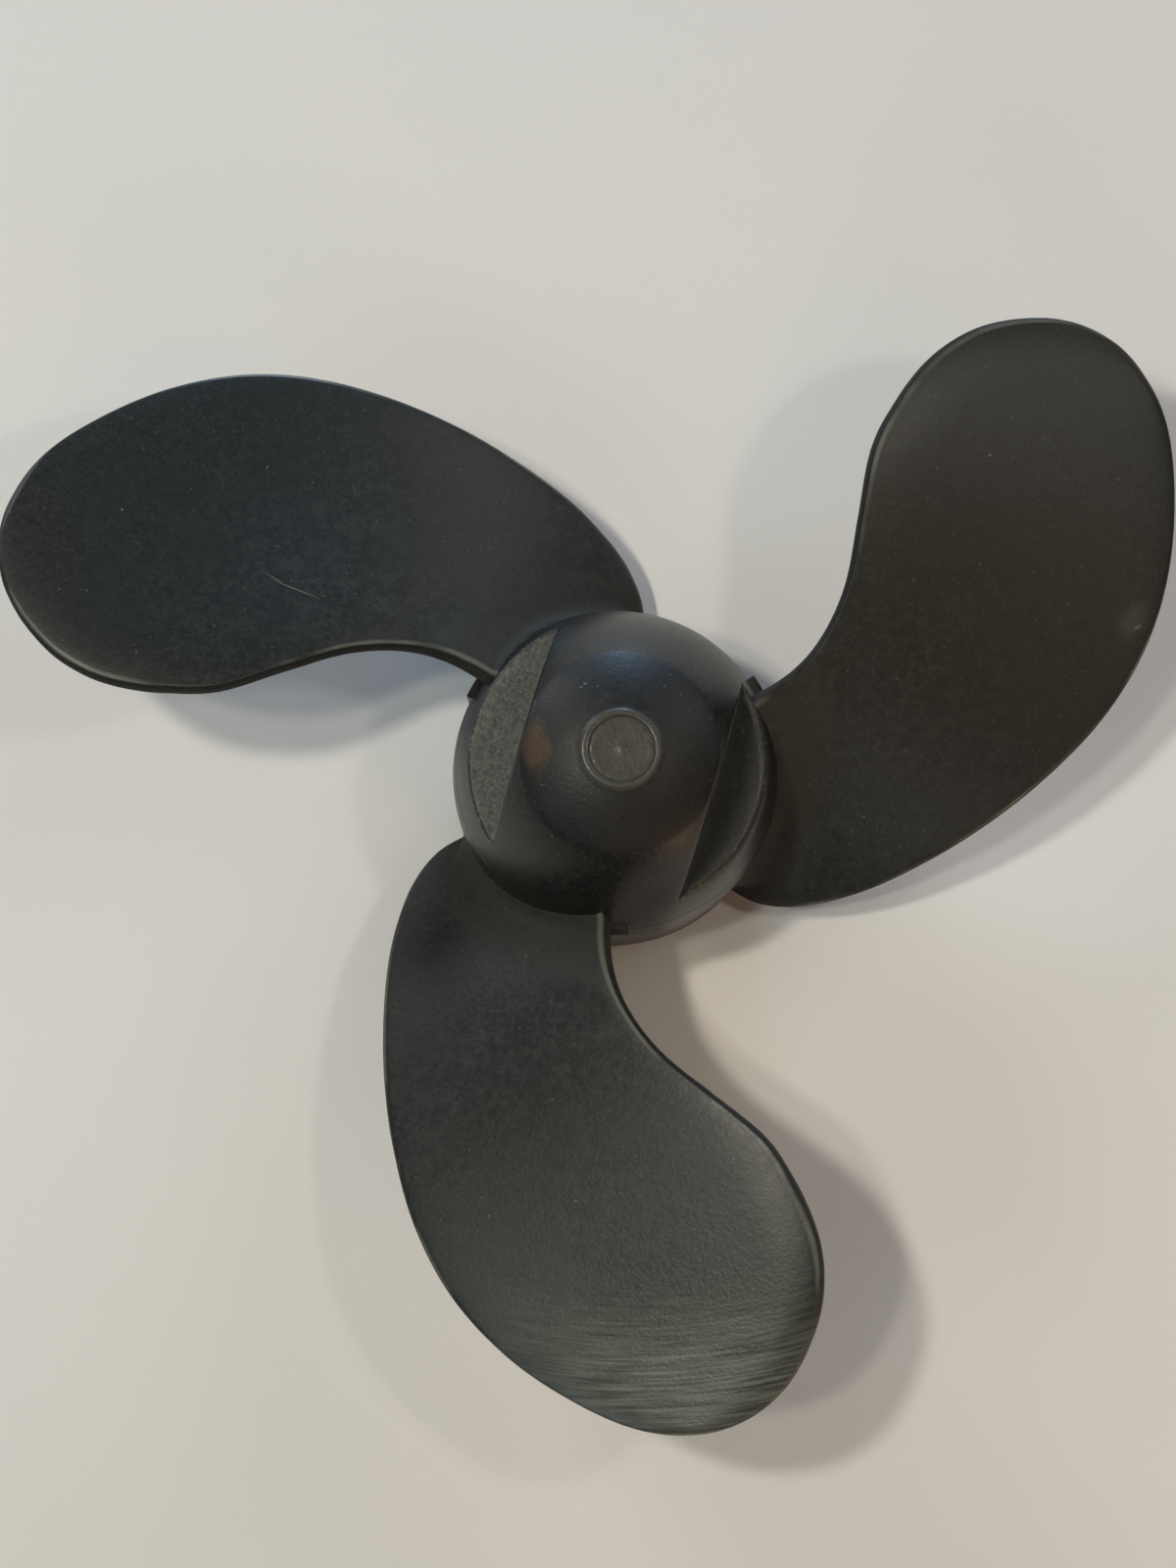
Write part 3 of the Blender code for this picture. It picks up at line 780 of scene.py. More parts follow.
def hub_mesh():
    azimuths = hub_azimuths()
    vertices = []
    zones = []
    for azimuth in azimuths:
        points, marks = hub_rows(azimuth)
        zones += list(marks)
        for (radius, height), mark in zip(points, marks):
            # the mould's gate insert stands a little off the shaft's axis
            fade = max(0.0, min(1.0, (DISC_REACH - radius) / SHIFT_FADE))
            shift = DISC_SHIFT * fade if mark[2] else 0.0
            x = radius * math.cos(azimuth) + shift * math.cos(PHOTO_TURN)
            y = radius * math.sin(azimuth) + shift * math.sin(PHOTO_TURN)
            vertices.append((x, y, height - PLANE_HEIGHT))
    rows, count, top = len(points), len(azimuths), len(vertices)
    middle = (DISC_SHIFT * math.cos(PHOTO_TURN), DISC_SHIFT * math.sin(PHOTO_TURN))
    vertices.append((*middle, DISC_FLOOR + GATE_MARK - PLANE_HEIGHT))
    vertices.append((0, 0, BORE_END + BORE / 4 - PLANE_HEIGHT))
    zones += [(0.0, 0.0, 1.0, 0.0), (0.0, 0.0, 0.0, 0.0)]
    gaps = [(c * rows, (c + 1) % count * rows) for c in range(count)]
    faces = [(near + i, near + i + 1, far + i + 1, far + i) for near, far in gaps for i in range(rows - 1)]
    for near, far in gaps:
        faces += [(top, near, far), (top + 1, far + rows - 1, near + rows - 1)]
    mesh = bpy.data.meshes.new("hub_moulding")
    mesh.from_pydata(vertices, [], faces)
    mark_points(mesh, ZONES, zones)
    return mesh


hub = in_scene("hub_moulding", hub_mesh())
print("hub grid:", len(hub.data.vertices), "points")


# %% [markdown]
# The drive slot and the split pin's hole cross the turned form, so those two are cut. The cutters are thrown
# away once the cut is applied.

# %% Cut the drive slot and the split pin's hole
def keep_result(item, modifier):
    """Make what the modifier shows the object's own plain mesh, and drop the modifier."""
    bpy.context.view_layer.update()
    shown = item.evaluated_get(bpy.context.evaluated_depsgraph_get())
    mesh = bpy.data.meshes.new_from_object(shown)
    mesh.name = item.name
    item.modifiers.remove(modifier)
    item.data = mesh


def mesh_of(form, name):
    """The form as a mesh."""
    mesh = bpy.data.meshes.new(name)
    form.to_mesh(mesh)
    form.free()
    return mesh


def cut_away(item, form):
    cutter = in_scene("cutter", mesh_of(form, "cutter"))
    modifier = item.modifiers.new("cut", "BOOLEAN")
    modifier.operation = "DIFFERENCE"
    modifier.solver = "EXACT"
    modifier.object = cutter
    keep_result(item, modifier)
    bpy.data.objects.remove(cutter)


def slot_form():
    form = bmesh.new()
    bmesh.ops.create_cube(form, size=1)
    bmesh.ops.scale(form, vec=(2.4 * BOSS_RADIUS, DRIVE_SLOT_WIDTH, 2 * DRIVE_SLOT_DEPTH), verts=form.verts)
    bmesh.ops.translate(form, vec=(0, 0, BOSS_START - PLANE_HEIGHT), verts=form.verts)
    across = [e for e in form.edges if abs(e.verts[0].co.x - e.verts[1].co.x) > BOSS_RADIUS]
    bmesh.ops.bevel(form, geom=across, offset=0.5 * MM, segments=3, profile=0.5, affect="EDGES")
    return form


def hole_form():
    form = bmesh.new()
    radius = SPLIT_PIN_HOLE / 2
    bmesh.ops.create_cone(
        form, cap_ends=True, segments=48, radius1=radius, radius2=radius, depth=4 * FLAT_DISTANCE)
    bmesh.ops.rotate(form, matrix=Euler((0, math.pi / 2, 0)).to_matrix(), verts=form.verts)
    bmesh.ops.translate(form, vec=(0, 0, SPLIT_PIN_HEIGHT - PLANE_HEIGHT), verts=form.verts)
    return form


cut_away(hub, slot_form())
cut_away(hub, hole_form())
print("hub after the cuts:", len(hub.data.polygons), "faces")


# %% Finish a mesh
MERGE_DISTANCE = 0.008 * MM
SLIVER = 0.002 * MM
HUB_SMOOTH = 32
BLADE_SMOOTH = 50


def finish_mesh(item, material, angle):
    """Merge what the rule left doubled, smooth the rest, and give the mesh its one material."""
    form = bmesh.new()
    form.from_mesh(item.data)
    bmesh.ops.remove_doubles(form, verts=form.verts, dist=MERGE_DISTANCE)
    bmesh.ops.dissolve_degenerate(form, edges=form.edges, dist=SLIVER)
    form.to_mesh(item.data)
    open_edges = sum(1 for e in form.edges if len(e.link_faces) != 2)
    form.free()
    item.data.materials.clear()
    item.data.materials.append(material)
    item.data.shade_smooth()
    item.data.set_sharp_from_angle(angle=angle * DEGREE)
    triangles = sum(len(p.vertices) - 2 for p in item.data.polygons)
    print(item.name, triangles, "triangles,", open_edges, "open edges")


finish_mesh(hub, hub_finish, HUB_SMOOTH)

# %% [markdown]
# ## Ribs and lugs
# Six ribs tie the shaft boss to the barrel, and a small lug stands behind each blade's trailing edge, where
# the two halves of the mould shut against each other. Both are one form that repeats round the shaft, so
# Geometry Nodes copy it: a point on the axis for each copy, an instance on it, and a turn by its number.


# %% A tree that repeats a form round the shaft
def new_tree(name, sockets, result):
    """A Geometry Nodes tree with these inputs, their identifiers, and the sockets that bring them in."""
    tree = bpy.data.node_groups.new(name, "GeometryNodeTree")
    keys = {}
    for title, kind in sockets.items():
        made = tree.interface.new_socket(title, in_out="INPUT", socket_type=f"NodeSocket{kind}")
        keys[title] = made.identifier
    tree.interface.new_socket(result, in_out="OUTPUT", socket_type="NodeSocketGeometry")
    return tree, keys, add(tree, "NodeGroupInput").outputs


def end_tree(tree, form, finish):
    """End a tree with real geometry that carries its finish."""
    solid = add(tree, "GeometryNodeRealizeInstances", [form])
    finished = add(tree, "GeometryNodeSetMaterial", {"Geometry": solid, "Material": finish})
    add(tree, "NodeGroupOutput", [finished])


def ring_tree():
    sockets = {"Form": "Geometry", "Count": "Int", "First angle": "Float", "Finish": "Material"}
    tree, keys, feed = new_tree("copies_round_shaft", sockets, "Ring")
    points = add(tree, "GeometryNodePoints", [feed["Count"]])
    step = add(tree, MATH, [math.tau, feed["Count"]], operation="DIVIDE")
    number = add(tree, "GeometryNodeInputIndex")
    turn = add(tree, MATH, [number, step, feed["First angle"]], operation="MULTIPLY_ADD")
    rotation = add(tree, "ShaderNodeCombineXYZ", [0.0, 0.0, turn])
    feeds = {"Points": points, "Instance": feed["Form"], "Rotation": rotation}
    copies = add(tree, "GeometryNodeInstanceOnPoints", feeds)
    end_tree(tree, copies, feed["Finish"])
    return tree, keys


def run_tree(name, mesh, tree, keys, inputs):
    """Put a mesh through a tree with these inputs, and keep the result as a plain mesh."""
    item = in_scene(name, mesh)
    modifier = item.modifiers.new(tree.name, "NODES")
    modifier.node_group = tree
    for title, value in inputs.items():
        modifier[keys[title]] = value
    keep_result(item, modifier)
    return item


ring, ring_keys = ring_tree()
print("ring tree has", len(ring.nodes), "nodes")


# %% [markdown]
# A rib is a plate with a rounded foot. It runs a little into the boss and the barrel, because on the real
# moulding they are one.

# %% Rib
RIB_SINK = 0.5 * MM
SAME = 1e-6


def rib_mesh():
    inner = BOSS_RADIUS - RIB_SINK
    outer = BARREL_RADIUS - WALL_THICKNESS + RIB_SINK
    top = DECK_HEIGHT - DECK_THICKNESS + RIB_SINK
    narrow = ogive_radius(top) - WALL_THICKNESS + RIB_SINK
    outline = [(inner, RIB_START), (outer, RIB_START), (outer, BARREL_HEIGHT), (narrow, top), (inner, top)]
    form = bmesh.new()
    sides = []
    for side in (-1, 1):
        sides.append([form.verts.new((r, side * RIB_THICKNESS / 2, h - PLANE_HEIGHT)) for r, h in outline])
    form.faces.new(sides[0])
    form.faces.new(list(reversed(sides[1])))
    for i in range(len(outline)):
        j = (i + 1) % len(outline)
        form.faces.new((sides[0][j], sides[0][i], sides[1][i], sides[1][j]))
    bmesh.ops.recalc_face_normals(form, faces=form.faces)
    foot_z = RIB_START - PLANE_HEIGHT
    low = [e for e in form.edges if all(abs(v.co.z - foot_z) < SAME for v in e.verts)]
    foot = [e for e in low if abs(e.verts[0].co.y - e.verts[1].co.y) < SAME]
    bmesh.ops.bevel(form, geom=foot, offset=0.7 * MM, segments=4, profile=0.5, affect="EDGES")
    return mesh_of(form, "rib")


rib_inputs = {"Count": RIB_COUNT, "First angle": RIB_ANGLE, "Finish": hub_finish}
ribs = run_tree("hub_ribs", rib_mesh(), ring, ring_keys, rib_inputs)
finish_mesh(ribs, hub_finish, HUB_SMOOTH)

# %% [markdown]
# A lug goes on with the barrel's radius where the ogive already leans inwards. It is widest at its top and
# dies out where the ogive meets the barrel.

# %% Lug
LUG_TOP = 30.4 * MM
LUG_FOOT = 17 * MM
LUG_RADIUS = 24.25 * MM
LUG_DEPTH = 3 * MM
LUG_START = 33 * DEGREE
LUG_END = 42.8 * DEGREE
LUG_STEPS = 6
LUG_SLOPE = 1.9 * MM
# height, outer radius, and how far the outer side lies below the inner one
LUG_RINGS = (
    (LUG_FOOT, BARREL_RADIUS - 0.3 * MM, 0.0),
    (22 * MM, LUG_RADIUS - 0.1 * MM, 0.0),
    (LUG_TOP, LUG_RADIUS, LUG_SLOPE),
)


def lug_mesh():
    form = bmesh.new()
    angles = [LUG_START] + steps(LUG_START, LUG_END, LUG_STEPS)
    rings = []
    for height, radius, slope in LUG_RINGS:
        z = height - PLANE_HEIGHT
        places = [(radius, a, z - slope) for a in angles]
        places += [(radius - LUG_DEPTH, a, z) for a in reversed(angles)]
        rings.append([form.verts.new((r * math.cos(a), r * math.sin(a), h)) for r, a, h in places])
    count = len(rings[0])
    for low, high in zip(rings, rings[1:]):
        for i in range(count):
            j = (i + 1) % count
            form.faces.new((low[i], low[j], high[j], high[i]))
    form.faces.new(list(reversed(rings[0])))
    form.faces.new(rings[-1])
    bmesh.ops.recalc_face_normals(form, faces=form.faces)
    sharp = [e for e in form.edges if len(e.link_faces) == 2 and e.calc_face_angle() > 0.8]
    bmesh.ops.bevel(form, geom=sharp, offset=0.25 * MM, segments=4, profile=0.5, affect="EDGES")
    return mesh_of(form, "lug")


lug_inputs = {"Count": BLADE_COUNT, "First angle": GENERATOR_ANGLE, "Finish": hub_finish}
lugs = run_tree("root_lugs", lug_mesh(), ring, ring_keys, lug_inputs)
finish_mesh(lugs, hub_finish, HUB_SMOOTH)


# %% [markdown]
# ## Blades
# A blade could be sculpted, but it follows a rule, so Geometry Nodes bend it. It starts as a blank, a closed
# sleeve of points that only know their place: how far along the span, how far along the chord from the
# leading edge, which face, and how far round a rounded edge. The tree reads the outline and the thickness
# from curves, as a draughtsman's table gives them, and puts each point on the screw surface.

# %% Curve through the outline's points
def span_place(radius):
    """0 at the root and 1 at the tip, with equal steps packed towards the tip."""
    return 1 - math.sqrt(max(0, TIP_RADIUS - radius) / (TIP_RADIUS - ROOT_RADIUS))


def smooth_value(knots, values, place):
    """Cubic curve through (knot, value) pairs with slopes taken from the neighbours."""
    last = len(knots) - 1
    slopes = [
        (values[min(i + 1, last)] - values[max(i - 1, 0)]) / (knots[min(i + 1, last)] - knots[max(i - 1, 0)])
        for i in range(last + 1)
    ]
    i = 0
    while i < last - 1 and place > knots[i + 1]:
        i += 1
    width = knots[i + 1] - knots[i]
    t = (place - knots[i]) / width
    start = (2 * t**3 - 3 * t**2 + 1) * values[i] + (t**3 - 2 * t**2 + t) * width * slopes[i]
    end = (3 * t**2 - 2 * t**3) * values[i + 1] + (t**3 - t**2) * width * slopes[i + 1]
    return start + end


# %% Tables of the blade along its span
TABLE_STEPS = 72
LARGEST_SHARE = 0.45


def blade_tables():
    """For each place along the span: both edges in degrees, and three half thicknesses in millimetres."""
    knots = [span_place(row[0] * MM) for row in OUTLINE]
    tables = {"leading": [], "trailing": [], "middle_half": [], "leading_half": [], "trailing_half": []}
    for i in range(TABLE_STEPS + 1):
        place = i / TABLE_STEPS
        radius = TIP_RADIUS - (TIP_RADIUS - ROOT_RADIUS) * (1 - place)**2
        leading = smooth_value(knots, [row[1] for row in OUTLINE], place)
        trailing = smooth_value(knots, [row[2] for row in OUTLINE], place)
        half_chord = (trailing - leading) * DEGREE * math.hypot(radius, PITCH / math.tau) / 2
        out = max(0, radius - BARREL_RADIUS)
        middle = ROOT_THICKNESS + (TIP_THICKNESS - ROOT_THICKNESS) * out / (TIP_RADIUS - BARREL_RADIUS)
        blunt = max(0, 1 - out / BLUNT_REACH)
        to_tip = max(0, radius - (TIP_RADIUS - TIP_ROUNDING)) / TIP_ROUNDING
        rounding = math.sqrt(max(0, 1 - to_tip**2))
        lead_half = min(EDGE_THICKNESS / 2 * rounding, half_chord * LARGEST_SHARE)
        trail_half = EDGE_THICKNESS / 2 + (BLUNT_THICKNESS - EDGE_THICKNESS) / 2 * blunt
        trail_half = min(trail_half * rounding, half_chord * LARGEST_SHARE)
        row = (leading, trailing, max(middle / 2 * rounding, lead_half) / MM, lead_half / MM, trail_half / MM)
        for table, value in zip(tables.values(), row):
            table.append((place, value))
    return tables


tables = blade_tables()
mid_span = [round(tables[edge][TABLE_STEPS // 2][1], 1) for edge in ("leading", "trailing")]
print("chord runs", mid_span, "degrees at mid span")

# %% [markdown]
# The trailing edge is finished in two ways. Near the hub the mould cuts it almost upright, with a crisp
# corner, and further out it is rounded and its last millimetres bend down a little. The edges also have the
# slight waves of use, which come from two noises along the span.

# %% The rule of a blade as a table of sums
BLADE_RULE = (
    ("to_tip", "SUBTRACT", 1.0, "place"),
    ("to_tip_squared", "MULTIPLY", "to_tip", "to_tip"),
    ("reach", "SUBTRACT", "Tip radius", "Root radius"),
    ("inward", "MULTIPLY", "reach", "to_tip_squared"),
    ("radius", "SUBTRACT", "Tip radius", "inward"),
    ("lead", "DIVIDE", "Pitch", math.tau),
    ("lead_squared", "MULTIPLY", "lead", "lead"),
    ("stretch_squared", "MULTIPLY_ADD", "radius", "radius", "lead_squared"),
    ("stretch", "SQRT", "stretch_squared"),
    # edges, drawn in by their own half thickness so that the rounded end stops on the outline
    ("lead_wave", "DIVIDE", "leading_wave", "stretch"),
    ("trail_wave", "DIVIDE", "trailing_wave", "stretch"),
    ("leading_angle", "MULTIPLY_ADD", "leading", DEGREE, "lead_wave"),
    ("trailing_angle", "MULTIPLY_ADD", "trailing", DEGREE, "trail_wave"),
    # the cap of the trailing edge is nearly square by the hub and round further out; the leading cap is round
    ("cap_change", "MULTIPLY_ADD", "upright", -0.5, -0.1),
    ("cap_power", "MULTIPLY_ADD", "cap_change", "along", 1.0),
    ("side_size", "ABSOLUTE", "side"),
    ("side_full", "POWER", "side_size", "cap_power"),
    ("side_sign", "SIGN", "side"),
    ("cap_side", "MULTIPLY", "side_full", "side_sign"),
    ("bulge_size", "ABSOLUTE", "bulge"),
    ("bulge_full", "POWER", "bulge_size", "cap_power"),
    ("bulge_sign", "SIGN", "bulge"),
    ("cap_bulge", "MULTIPLY", "bulge_full", "bulge_sign"),
    ("leading_size", "MULTIPLY", "leading_half", MM),
    ("trailing_size", "MULTIPLY", "trailing_half", MM),
    ("middle_size", "MULTIPLY", "middle_half", MM),
    ("lead_inset", "DIVIDE", "leading_size", "stretch"),
    ("trail_inset", "DIVIDE", "trailing_size", "stretch"),
    ("start", "ADD", "leading_angle", "lead_inset"),
    ("end", "SUBTRACT", "trailing_angle", "trail_inset"),
    ("sweep", "SUBTRACT", "end", "start"),
    ("edge_change", "SUBTRACT", "trailing_size", "leading_size"),
    ("edge_size", "MULTIPLY_ADD", "along", "edge_change", "leading_size"),
    ("edge_angle", "DIVIDE", "edge_size", "stretch"),
    ("face_angle", "MULTIPLY_ADD", "along", "sweep", "start"),
    ("rounded_angle", "MULTIPLY_ADD", "cap_bulge", "edge_angle", "face_angle"),
    # near the hub the trailing edge is cut almost upright: its upper corner reaches out, its lower one in
    ("tilt", "DIVIDE", "lead", "radius"),
    ("tilt_over", "SUBTRACT", "tilt", "Edge draft"),
    ("tilt_up", "MAXIMUM", "tilt_over", 0.0),
    ("tilt_both", "MULTIPLY_ADD", "tilt", "Edge draft", 1.0),
    ("tilt_cut", "DIVIDE", "tilt_up", "tilt_both"),
    ("cut_here", "MULTIPLY", "tilt_cut", "upright"),
    ("cut_angle", "MULTIPLY", "cut_here", "edge_angle"),
    ("near_trailing", "POWER", "along", 6.0),
    ("cut_side", "MULTIPLY", "cut_angle", "cap_side"),
    ("cut_shift", "MULTIPLY", "cut_side", "near_trailing"),
    ("angle", "ADD", "rounded_angle", "cut_shift"),
    # height on the screw surface
    ("climb", "MULTIPLY", "lead", "angle"),
    ("past_generator", "SUBTRACT", "radius", "Generator radius"),
    ("raked", "MULTIPLY_ADD", "past_generator", "Rake", "climb"),
    ("height", "ADD", "raked", "Generator height"),
    # thickness
    ("along_rest", "SUBTRACT", 1.0, "along"),
    ("bow", "MULTIPLY", "along", "along_rest"),
    ("bow_full", "MULTIPLY", "bow", 4.0),
    ("crown", "POWER", "bow_full", 0.8),
    ("thick_edge", "MAXIMUM", "leading_size", "trailing_size"),
    ("swell", "SUBTRACT", "middle_size", "thick_edge"),
    ("swell_up", "MAXIMUM", "swell", 0.0),
    ("half", "MULTIPLY_ADD", "crown", "swell_up", "edge_size"),
    ("offset", "MULTIPLY", "half", "cap_side"),
    # fillet between the faces and the hub
    ("above", "SUBTRACT", "height", "Barrel top"),
    ("above_barrel", "MAXIMUM", "above", 0.0),
    ("above_squared", "MULTIPLY", "above_barrel", "above_barrel"),
    ("ogive_left", "SUBTRACT", OGIVE_RADIUS**2, "above_squared"),
    ("ogive_reach", "SQRT", "ogive_left"),
    ("hub_here", "ADD", "ogive_reach", BARREL_RADIUS - OGIVE_RADIUS),
    ("out", "SUBTRACT", "radius", "hub_here"),
    ("near_leading", "MULTIPLY", "along", 8.0),
    ("near_leading_cap", "MINIMUM", "near_leading", 1.0),
    ("fillet_share", "MULTIPLY", "along_rest", "near_leading_cap"),
    ("fillet", "MULTIPLY_ADD", "fillet_share", FACE_FILLET - END_FILLET, END_FILLET),
    ("out_share", "DIVIDE", "out", "fillet"),
    ("in_cap", "SUBTRACT*", 1.0, "out_share"),
    ("in_squared", "MULTIPLY", "in_cap", "in_cap"),
    ("arc_left", "SUBTRACT", 1.0, "in_squared"),
    ("arc", "SQRT", "arc_left"),
    ("flare_share", "SUBTRACT", 1.0, "arc"),
    ("flare", "MULTIPLY", "flare_share", "fillet"),
    ("filleted", "MULTIPLY_ADD", "side_sign", "flare", "offset"),
    # the last millimetres before the trailing edge bend down
    ("from_trailing_angle", "MULTIPLY", "along_rest", "sweep"),
    ("from_trailing", "MULTIPLY", "from_trailing_angle", "stretch"),
    ("droop_far", "DIVIDE", "from_trailing", "Droop width"),
    ("droop_near", "SUBTRACT", 1.0, "droop_far"),
    ("droop_low", "MAXIMUM", "droop_near", 0.0),
    ("droop_squared", "MULTIPLY", "droop_low", "droop_low"),
    ("droop", "MULTIPLY", "droop_squared", "droop_height"),
    ("across", "MULTIPLY_ADD", "droop", MM, "filleted"),
    # place round the shaft
    ("turned", "ADD", "angle", "Turn"),
    ("cosine", "COSINE", "turned"),
    ("sine", "SINE", "turned"),
    ("x", "MULTIPLY", "radius", "cosine"),
    ("y", "MULTIPLY", "radius", "sine"),
    ("minus_y", "MULTIPLY", "y", -1.0),
)
print(len(BLADE_RULE), "sums make a blade")

# %% The tree that bends a blank into a blade
BLANK_NUMBERS = ("place", "along", "side", "bulge")
BLADE_INPUTS = {
    "Tip radius": TIP_RADIUS,
    "Root radius": ROOT_RADIUS,
    "Pitch": PITCH,
    "Rake": RAKE,
    "Generator radius": GENERATOR_RADIUS,
    "Generator height": GENERATOR_HEIGHT - PLANE_HEIGHT,
    "Barrel top": BARREL_HEIGHT - PLANE_HEIGHT,
    "Droop width": 6 * MM,
    "Edge draft": math.tan(18 * DEGREE),
    "Nick depth": 0.14 * MM,
    "Turn": 0.0,
    "Seed": 0.0,
}
# place along the span, and how far the trailing edge bends down in millimetres or how upright it is cut
DROOP_TABLE = [(0.0, 0.0), (0.2, 0.0), (0.35, -0.2), (0.6, -0.28), (0.8, -0.12), (1.0, 0.0)]
UPRIGHT_TABLE = [(0.0, 1.0), (0.18, 1.0), (0.32, 0.85), (0.5, 0.3), (0.62, 0.0), (1.0, 0.0)]
WAVES_ALONG_SPAN = 14.0


def table_curve(tree, place, rows):
    """A Float Curve node that follows the rows of a table."""
    node = add(tree, "ShaderNodeFloatCurve", {"Value": place})
    node.mapping.use_clip = False
    curve = node.mapping.curves[0]
    curve.points[0].location = rows[0]
    curve.points[1].location = rows[-1]
    for row in rows[1:-1]:
        curve.points.new(*row)
    node.mapping.update()
    return node


def blade_tree():
    sockets = {"Blank": "Geometry", **dict.fromkeys(BLADE_INPUTS, "Float"), "Finish": "Material"}
    tree, keys, feed = new_tree("blade_from_blank", sockets, "Blade")
    known = {name: feed[name] for name in BLADE_INPUTS}
    for name in BLANK_NUMBERS:
        number = add(tree, "GeometryNodeInputNamedAttribute", [name], data_type="FLOAT")
        known[name] = number.outputs["Attribute"]
    for name, rows in {**tables, "droop_height": DROOP_TABLE, "upright": UPRIGHT_TABLE}.items():
        known[name] = table_curve(tree, known["place"], rows)
    # the waves only draw the edges in, so one noise is kept above 0 and the other below
    for name, shift, level in (("leading_wave", 3.0, -0.1), ("trailing_wave", 17.0, 1.1)):
        seed = add(tree, MATH, [known["Seed"], shift], operation="ADD")
        where = add(tree, MATH, [known["place"], WAVES_ALONG_SPAN, seed], operation="MULTIPLY_ADD")
        feeds = {"W": where, "Scale": 1.0, "Detail": 2.0, "Roughness": 0.6}
        noise = add(tree, "ShaderNodeTexNoise", feeds, noise_dimensions="1D")
        inward = add(tree, MATH, [noise, level], operation="SUBTRACT")
        known[name] = add(tree, MATH, [inward, known["Nick depth"]], operation="MULTIPLY")
    follow(tree, BLADE_RULE, known)
    outward = add(tree, "ShaderNodeCombineXYZ", [known["cosine"], known["sine"], known["Rake"]])
    onward = add(tree, "ShaderNodeCombineXYZ", [known["minus_y"], known["x"], known["lead"]])
    crossed = add(tree, VECTOR_MATH, [outward, onward], operation="CROSS_PRODUCT")
    normal = add(tree, VECTOR_MATH, [crossed], operation="NORMALIZE")
    lift = add(tree, VECTOR_MATH, {0: normal, "Scale": known["across"]}, operation="SCALE")
    middle = add(tree, "ShaderNodeCombineXYZ", [known["x"], known["y"], known["height"]])
    lifted = add(tree, VECTOR_MATH, [middle, lift], operation="ADD")
    # back to its own radius after the lift
    parts = add(tree, "ShaderNodeSeparateXYZ", [lifted]).outputs
    flat = add(tree, "ShaderNodeCombineXYZ", [parts[0], parts[1], 0.0])
    known["flat_length"] = add(tree, VECTOR_MATH, [flat], operation="LENGTH").outputs["Value"]
    known["lifted_x"], known["lifted_y"] = parts[0], parts[1]
    follow(tree, (
        ("pull", "DIVIDE", "radius", "flat_length"),
        ("end_x", "MULTIPLY", "lifted_x", "pull"),
        ("end_y", "MULTIPLY", "lifted_y", "pull"),
    ), known)
    position = add(tree, "ShaderNodeCombineXYZ", [known["end_x"], known["end_y"], parts[2]])
    capped = add(tree, "GeometryNodeStoreNamedAttribute", {
        "Geometry": feed["Blank"], "Name": "cap", "Value": known["bulge_size"]}, data_type="FLOAT")
    bent = add(tree, "GeometryNodeSetPosition", {"Geometry": capped, "Position": position})
    end_tree(tree, bent, feed["Finish"])
    return tree, keys


bending, bending_keys = blade_tree()
print("blade tree has", len(bending.nodes), "nodes")

# %% The blank
SPAN_STEPS = 120
FACE_STEPS = 44
EDGE_STEPS = 10
SKIN_START = 21.3 * MM


def blank_loop():
    """(along, side, bulge) of each point round a section: face, trailing edge, other face, leading edge."""
    face = [((1 - math.cos(math.pi * i / FACE_STEPS)) / 2, 1.0, 0.0) for i in range(FACE_STEPS + 1)]
    loop = face[:]
    rounding = [math.pi / 2 - math.pi * i / EDGE_STEPS for i in range(1, EDGE_STEPS)]
    loop += [(1.0, math.sin(turn), math.cos(turn)) for turn in rounding]
    loop += [(along, -1.0, 0.0) for along, _, _ in reversed(face)]
    loop += [(0.0, -math.sin(turn), -math.cos(turn)) for turn in rounding]
    return loop


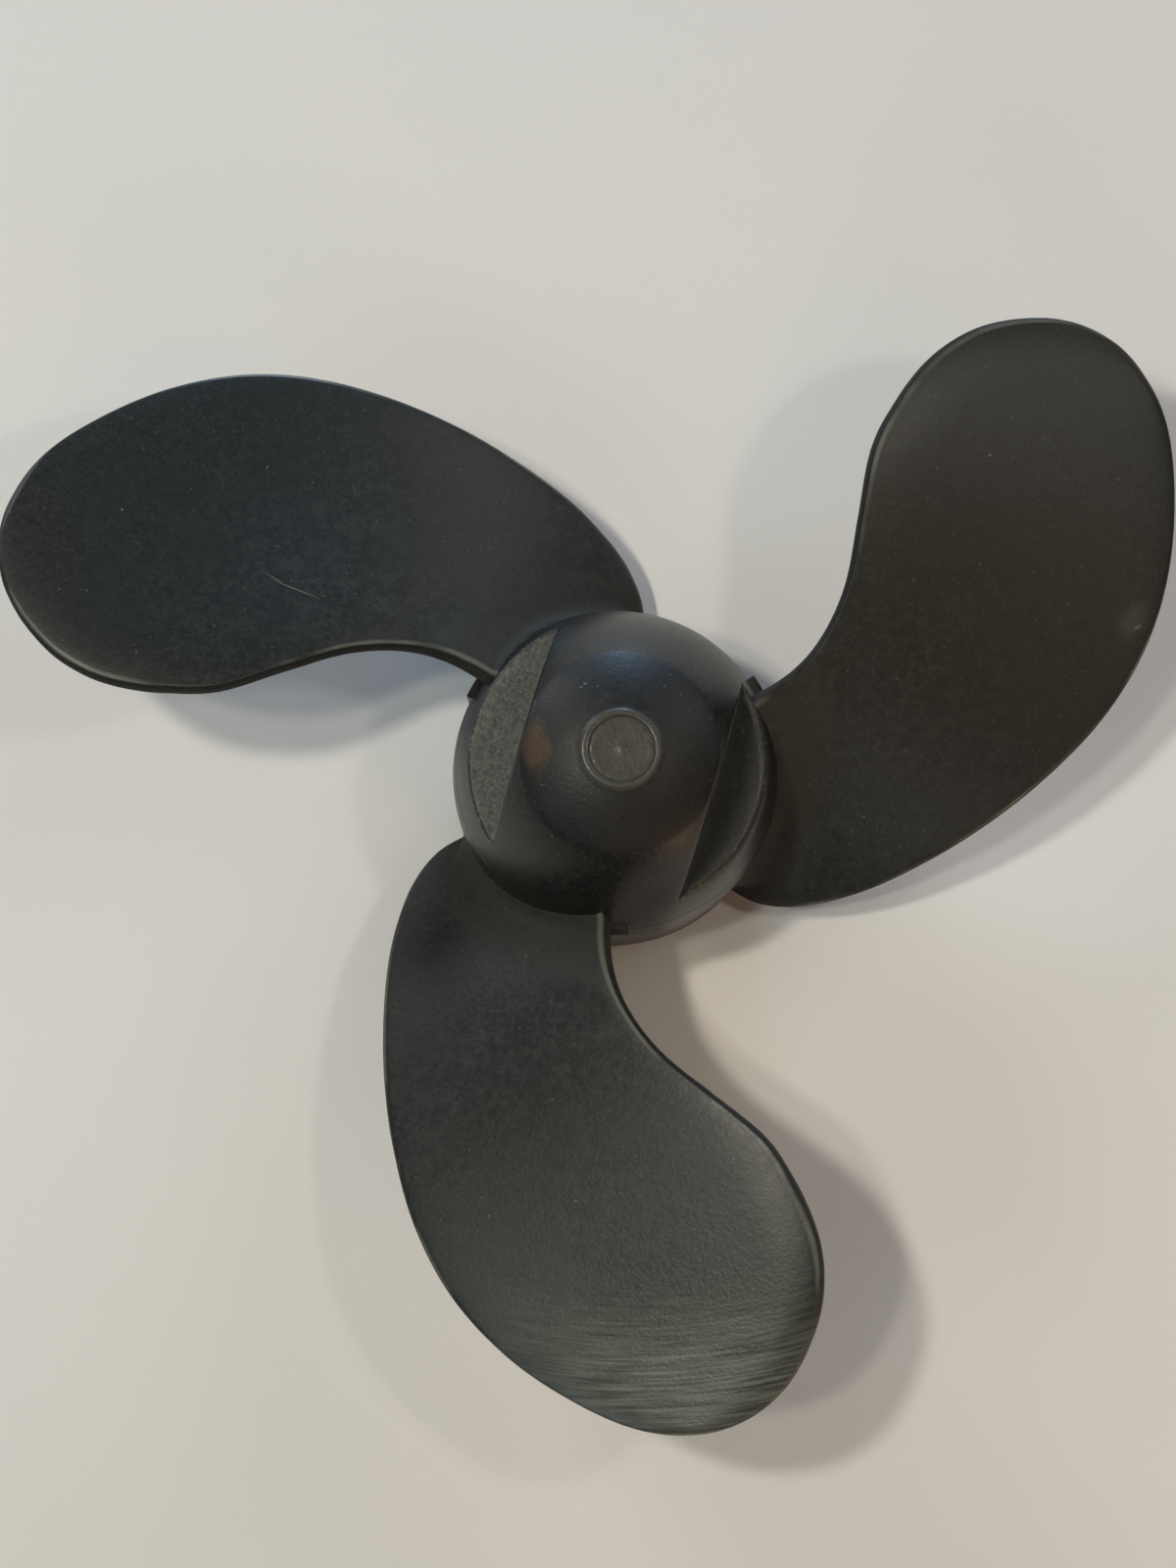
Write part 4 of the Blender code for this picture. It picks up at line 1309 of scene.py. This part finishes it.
def blank_mesh():
    """A closed sleeve of rings, packed at the root for the fillet and at the tip for the rounding."""
    loop = blank_loop()
    first = span_place(SKIN_START)
    rows = []
    for i in range(SPAN_STEPS):
        share = i / SPAN_STEPS
        packed = share - 0.7 * math.sin(math.tau * share) / math.tau
        rows += [(first + (1 - first) * packed, *point) for point in loop]
    rows += [(first, 0.5, 0.0, 0.0), (1.0, 0.5, 0.0, 0.0)]
    count = len(loop)
    faces = []
    for row in range(SPAN_STEPS - 1):
        for i in range(count):
            j = (i + 1) % count
            faces.append((row * count + i, row * count + j, (row + 1) * count + j, (row + 1) * count + i))
    root, tip = len(rows) - 2, len(rows) - 1
    last = (SPAN_STEPS - 1) * count
    faces += [(root, (i + 1) % count, i) for i in range(count)]
    faces += [(tip, last + i, last + (i + 1) % count) for i in range(count)]
    mesh = bpy.data.meshes.new("blade_blank")
    mesh.from_pydata([(place, along, 0.1 * side) for place, along, side, _ in rows], [], faces)
    mark_points(mesh, BLANK_NUMBERS, rows)
    return mesh


# %% Bend three blanks
SEED_STEP = 31.7


def make_blade(number):
    turn = GENERATOR_ANGLE + math.tau * (number - 1) / BLADE_COUNT
    inputs = dict(BLADE_INPUTS, Turn=turn, Seed=SEED_STEP * number, Finish=blade_finish)
    item = run_tree(f"blade_skin_{number}", blank_mesh(), bending, bending_keys, inputs)
    finish_mesh(item, blade_finish, BLADE_SMOOTH)
    return item


blades = [make_blade(number) for number in (1, 2, 3)]
tip_reach = max(math.hypot(v.co.x, v.co.y) for v in blades[0].data.vertices)
print("tip circle", round(2 * tip_reach / MM, 1), "mm")

# %% [markdown]
# ## Hand the pieces to the frame
# Every piece rides on the one body of this part, and the CAD solids that it stands for are hidden.

# %% Ride and replace
for piece, nodes, slot in (
    (hub, ("outer_hub", "nose_cap", "inner_hub"), "hub"),
    (ribs, tuple(f"rib_{i}" for i in range(1, RIB_COUNT + 1)), "hub"),
    (lugs, (), "hub"),
    (blades[0], ("blade_1",), "blade"),
    (blades[1], ("blade_2",), "blade"),
    (blades[2], ("blade_3",), "blade"),
):
    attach(piece, "root")
    if nodes:
        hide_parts(*nodes)

# %% Sizes of both models
low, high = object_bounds()
sizes = {
    "cad_low": list(cad_low), "cad_high": list(cad_high), "visual_low": list(low), "visual_high": list(high),
}
for name, values in sizes.items():
    print(name, [round(v / MM, 2) for v in values])
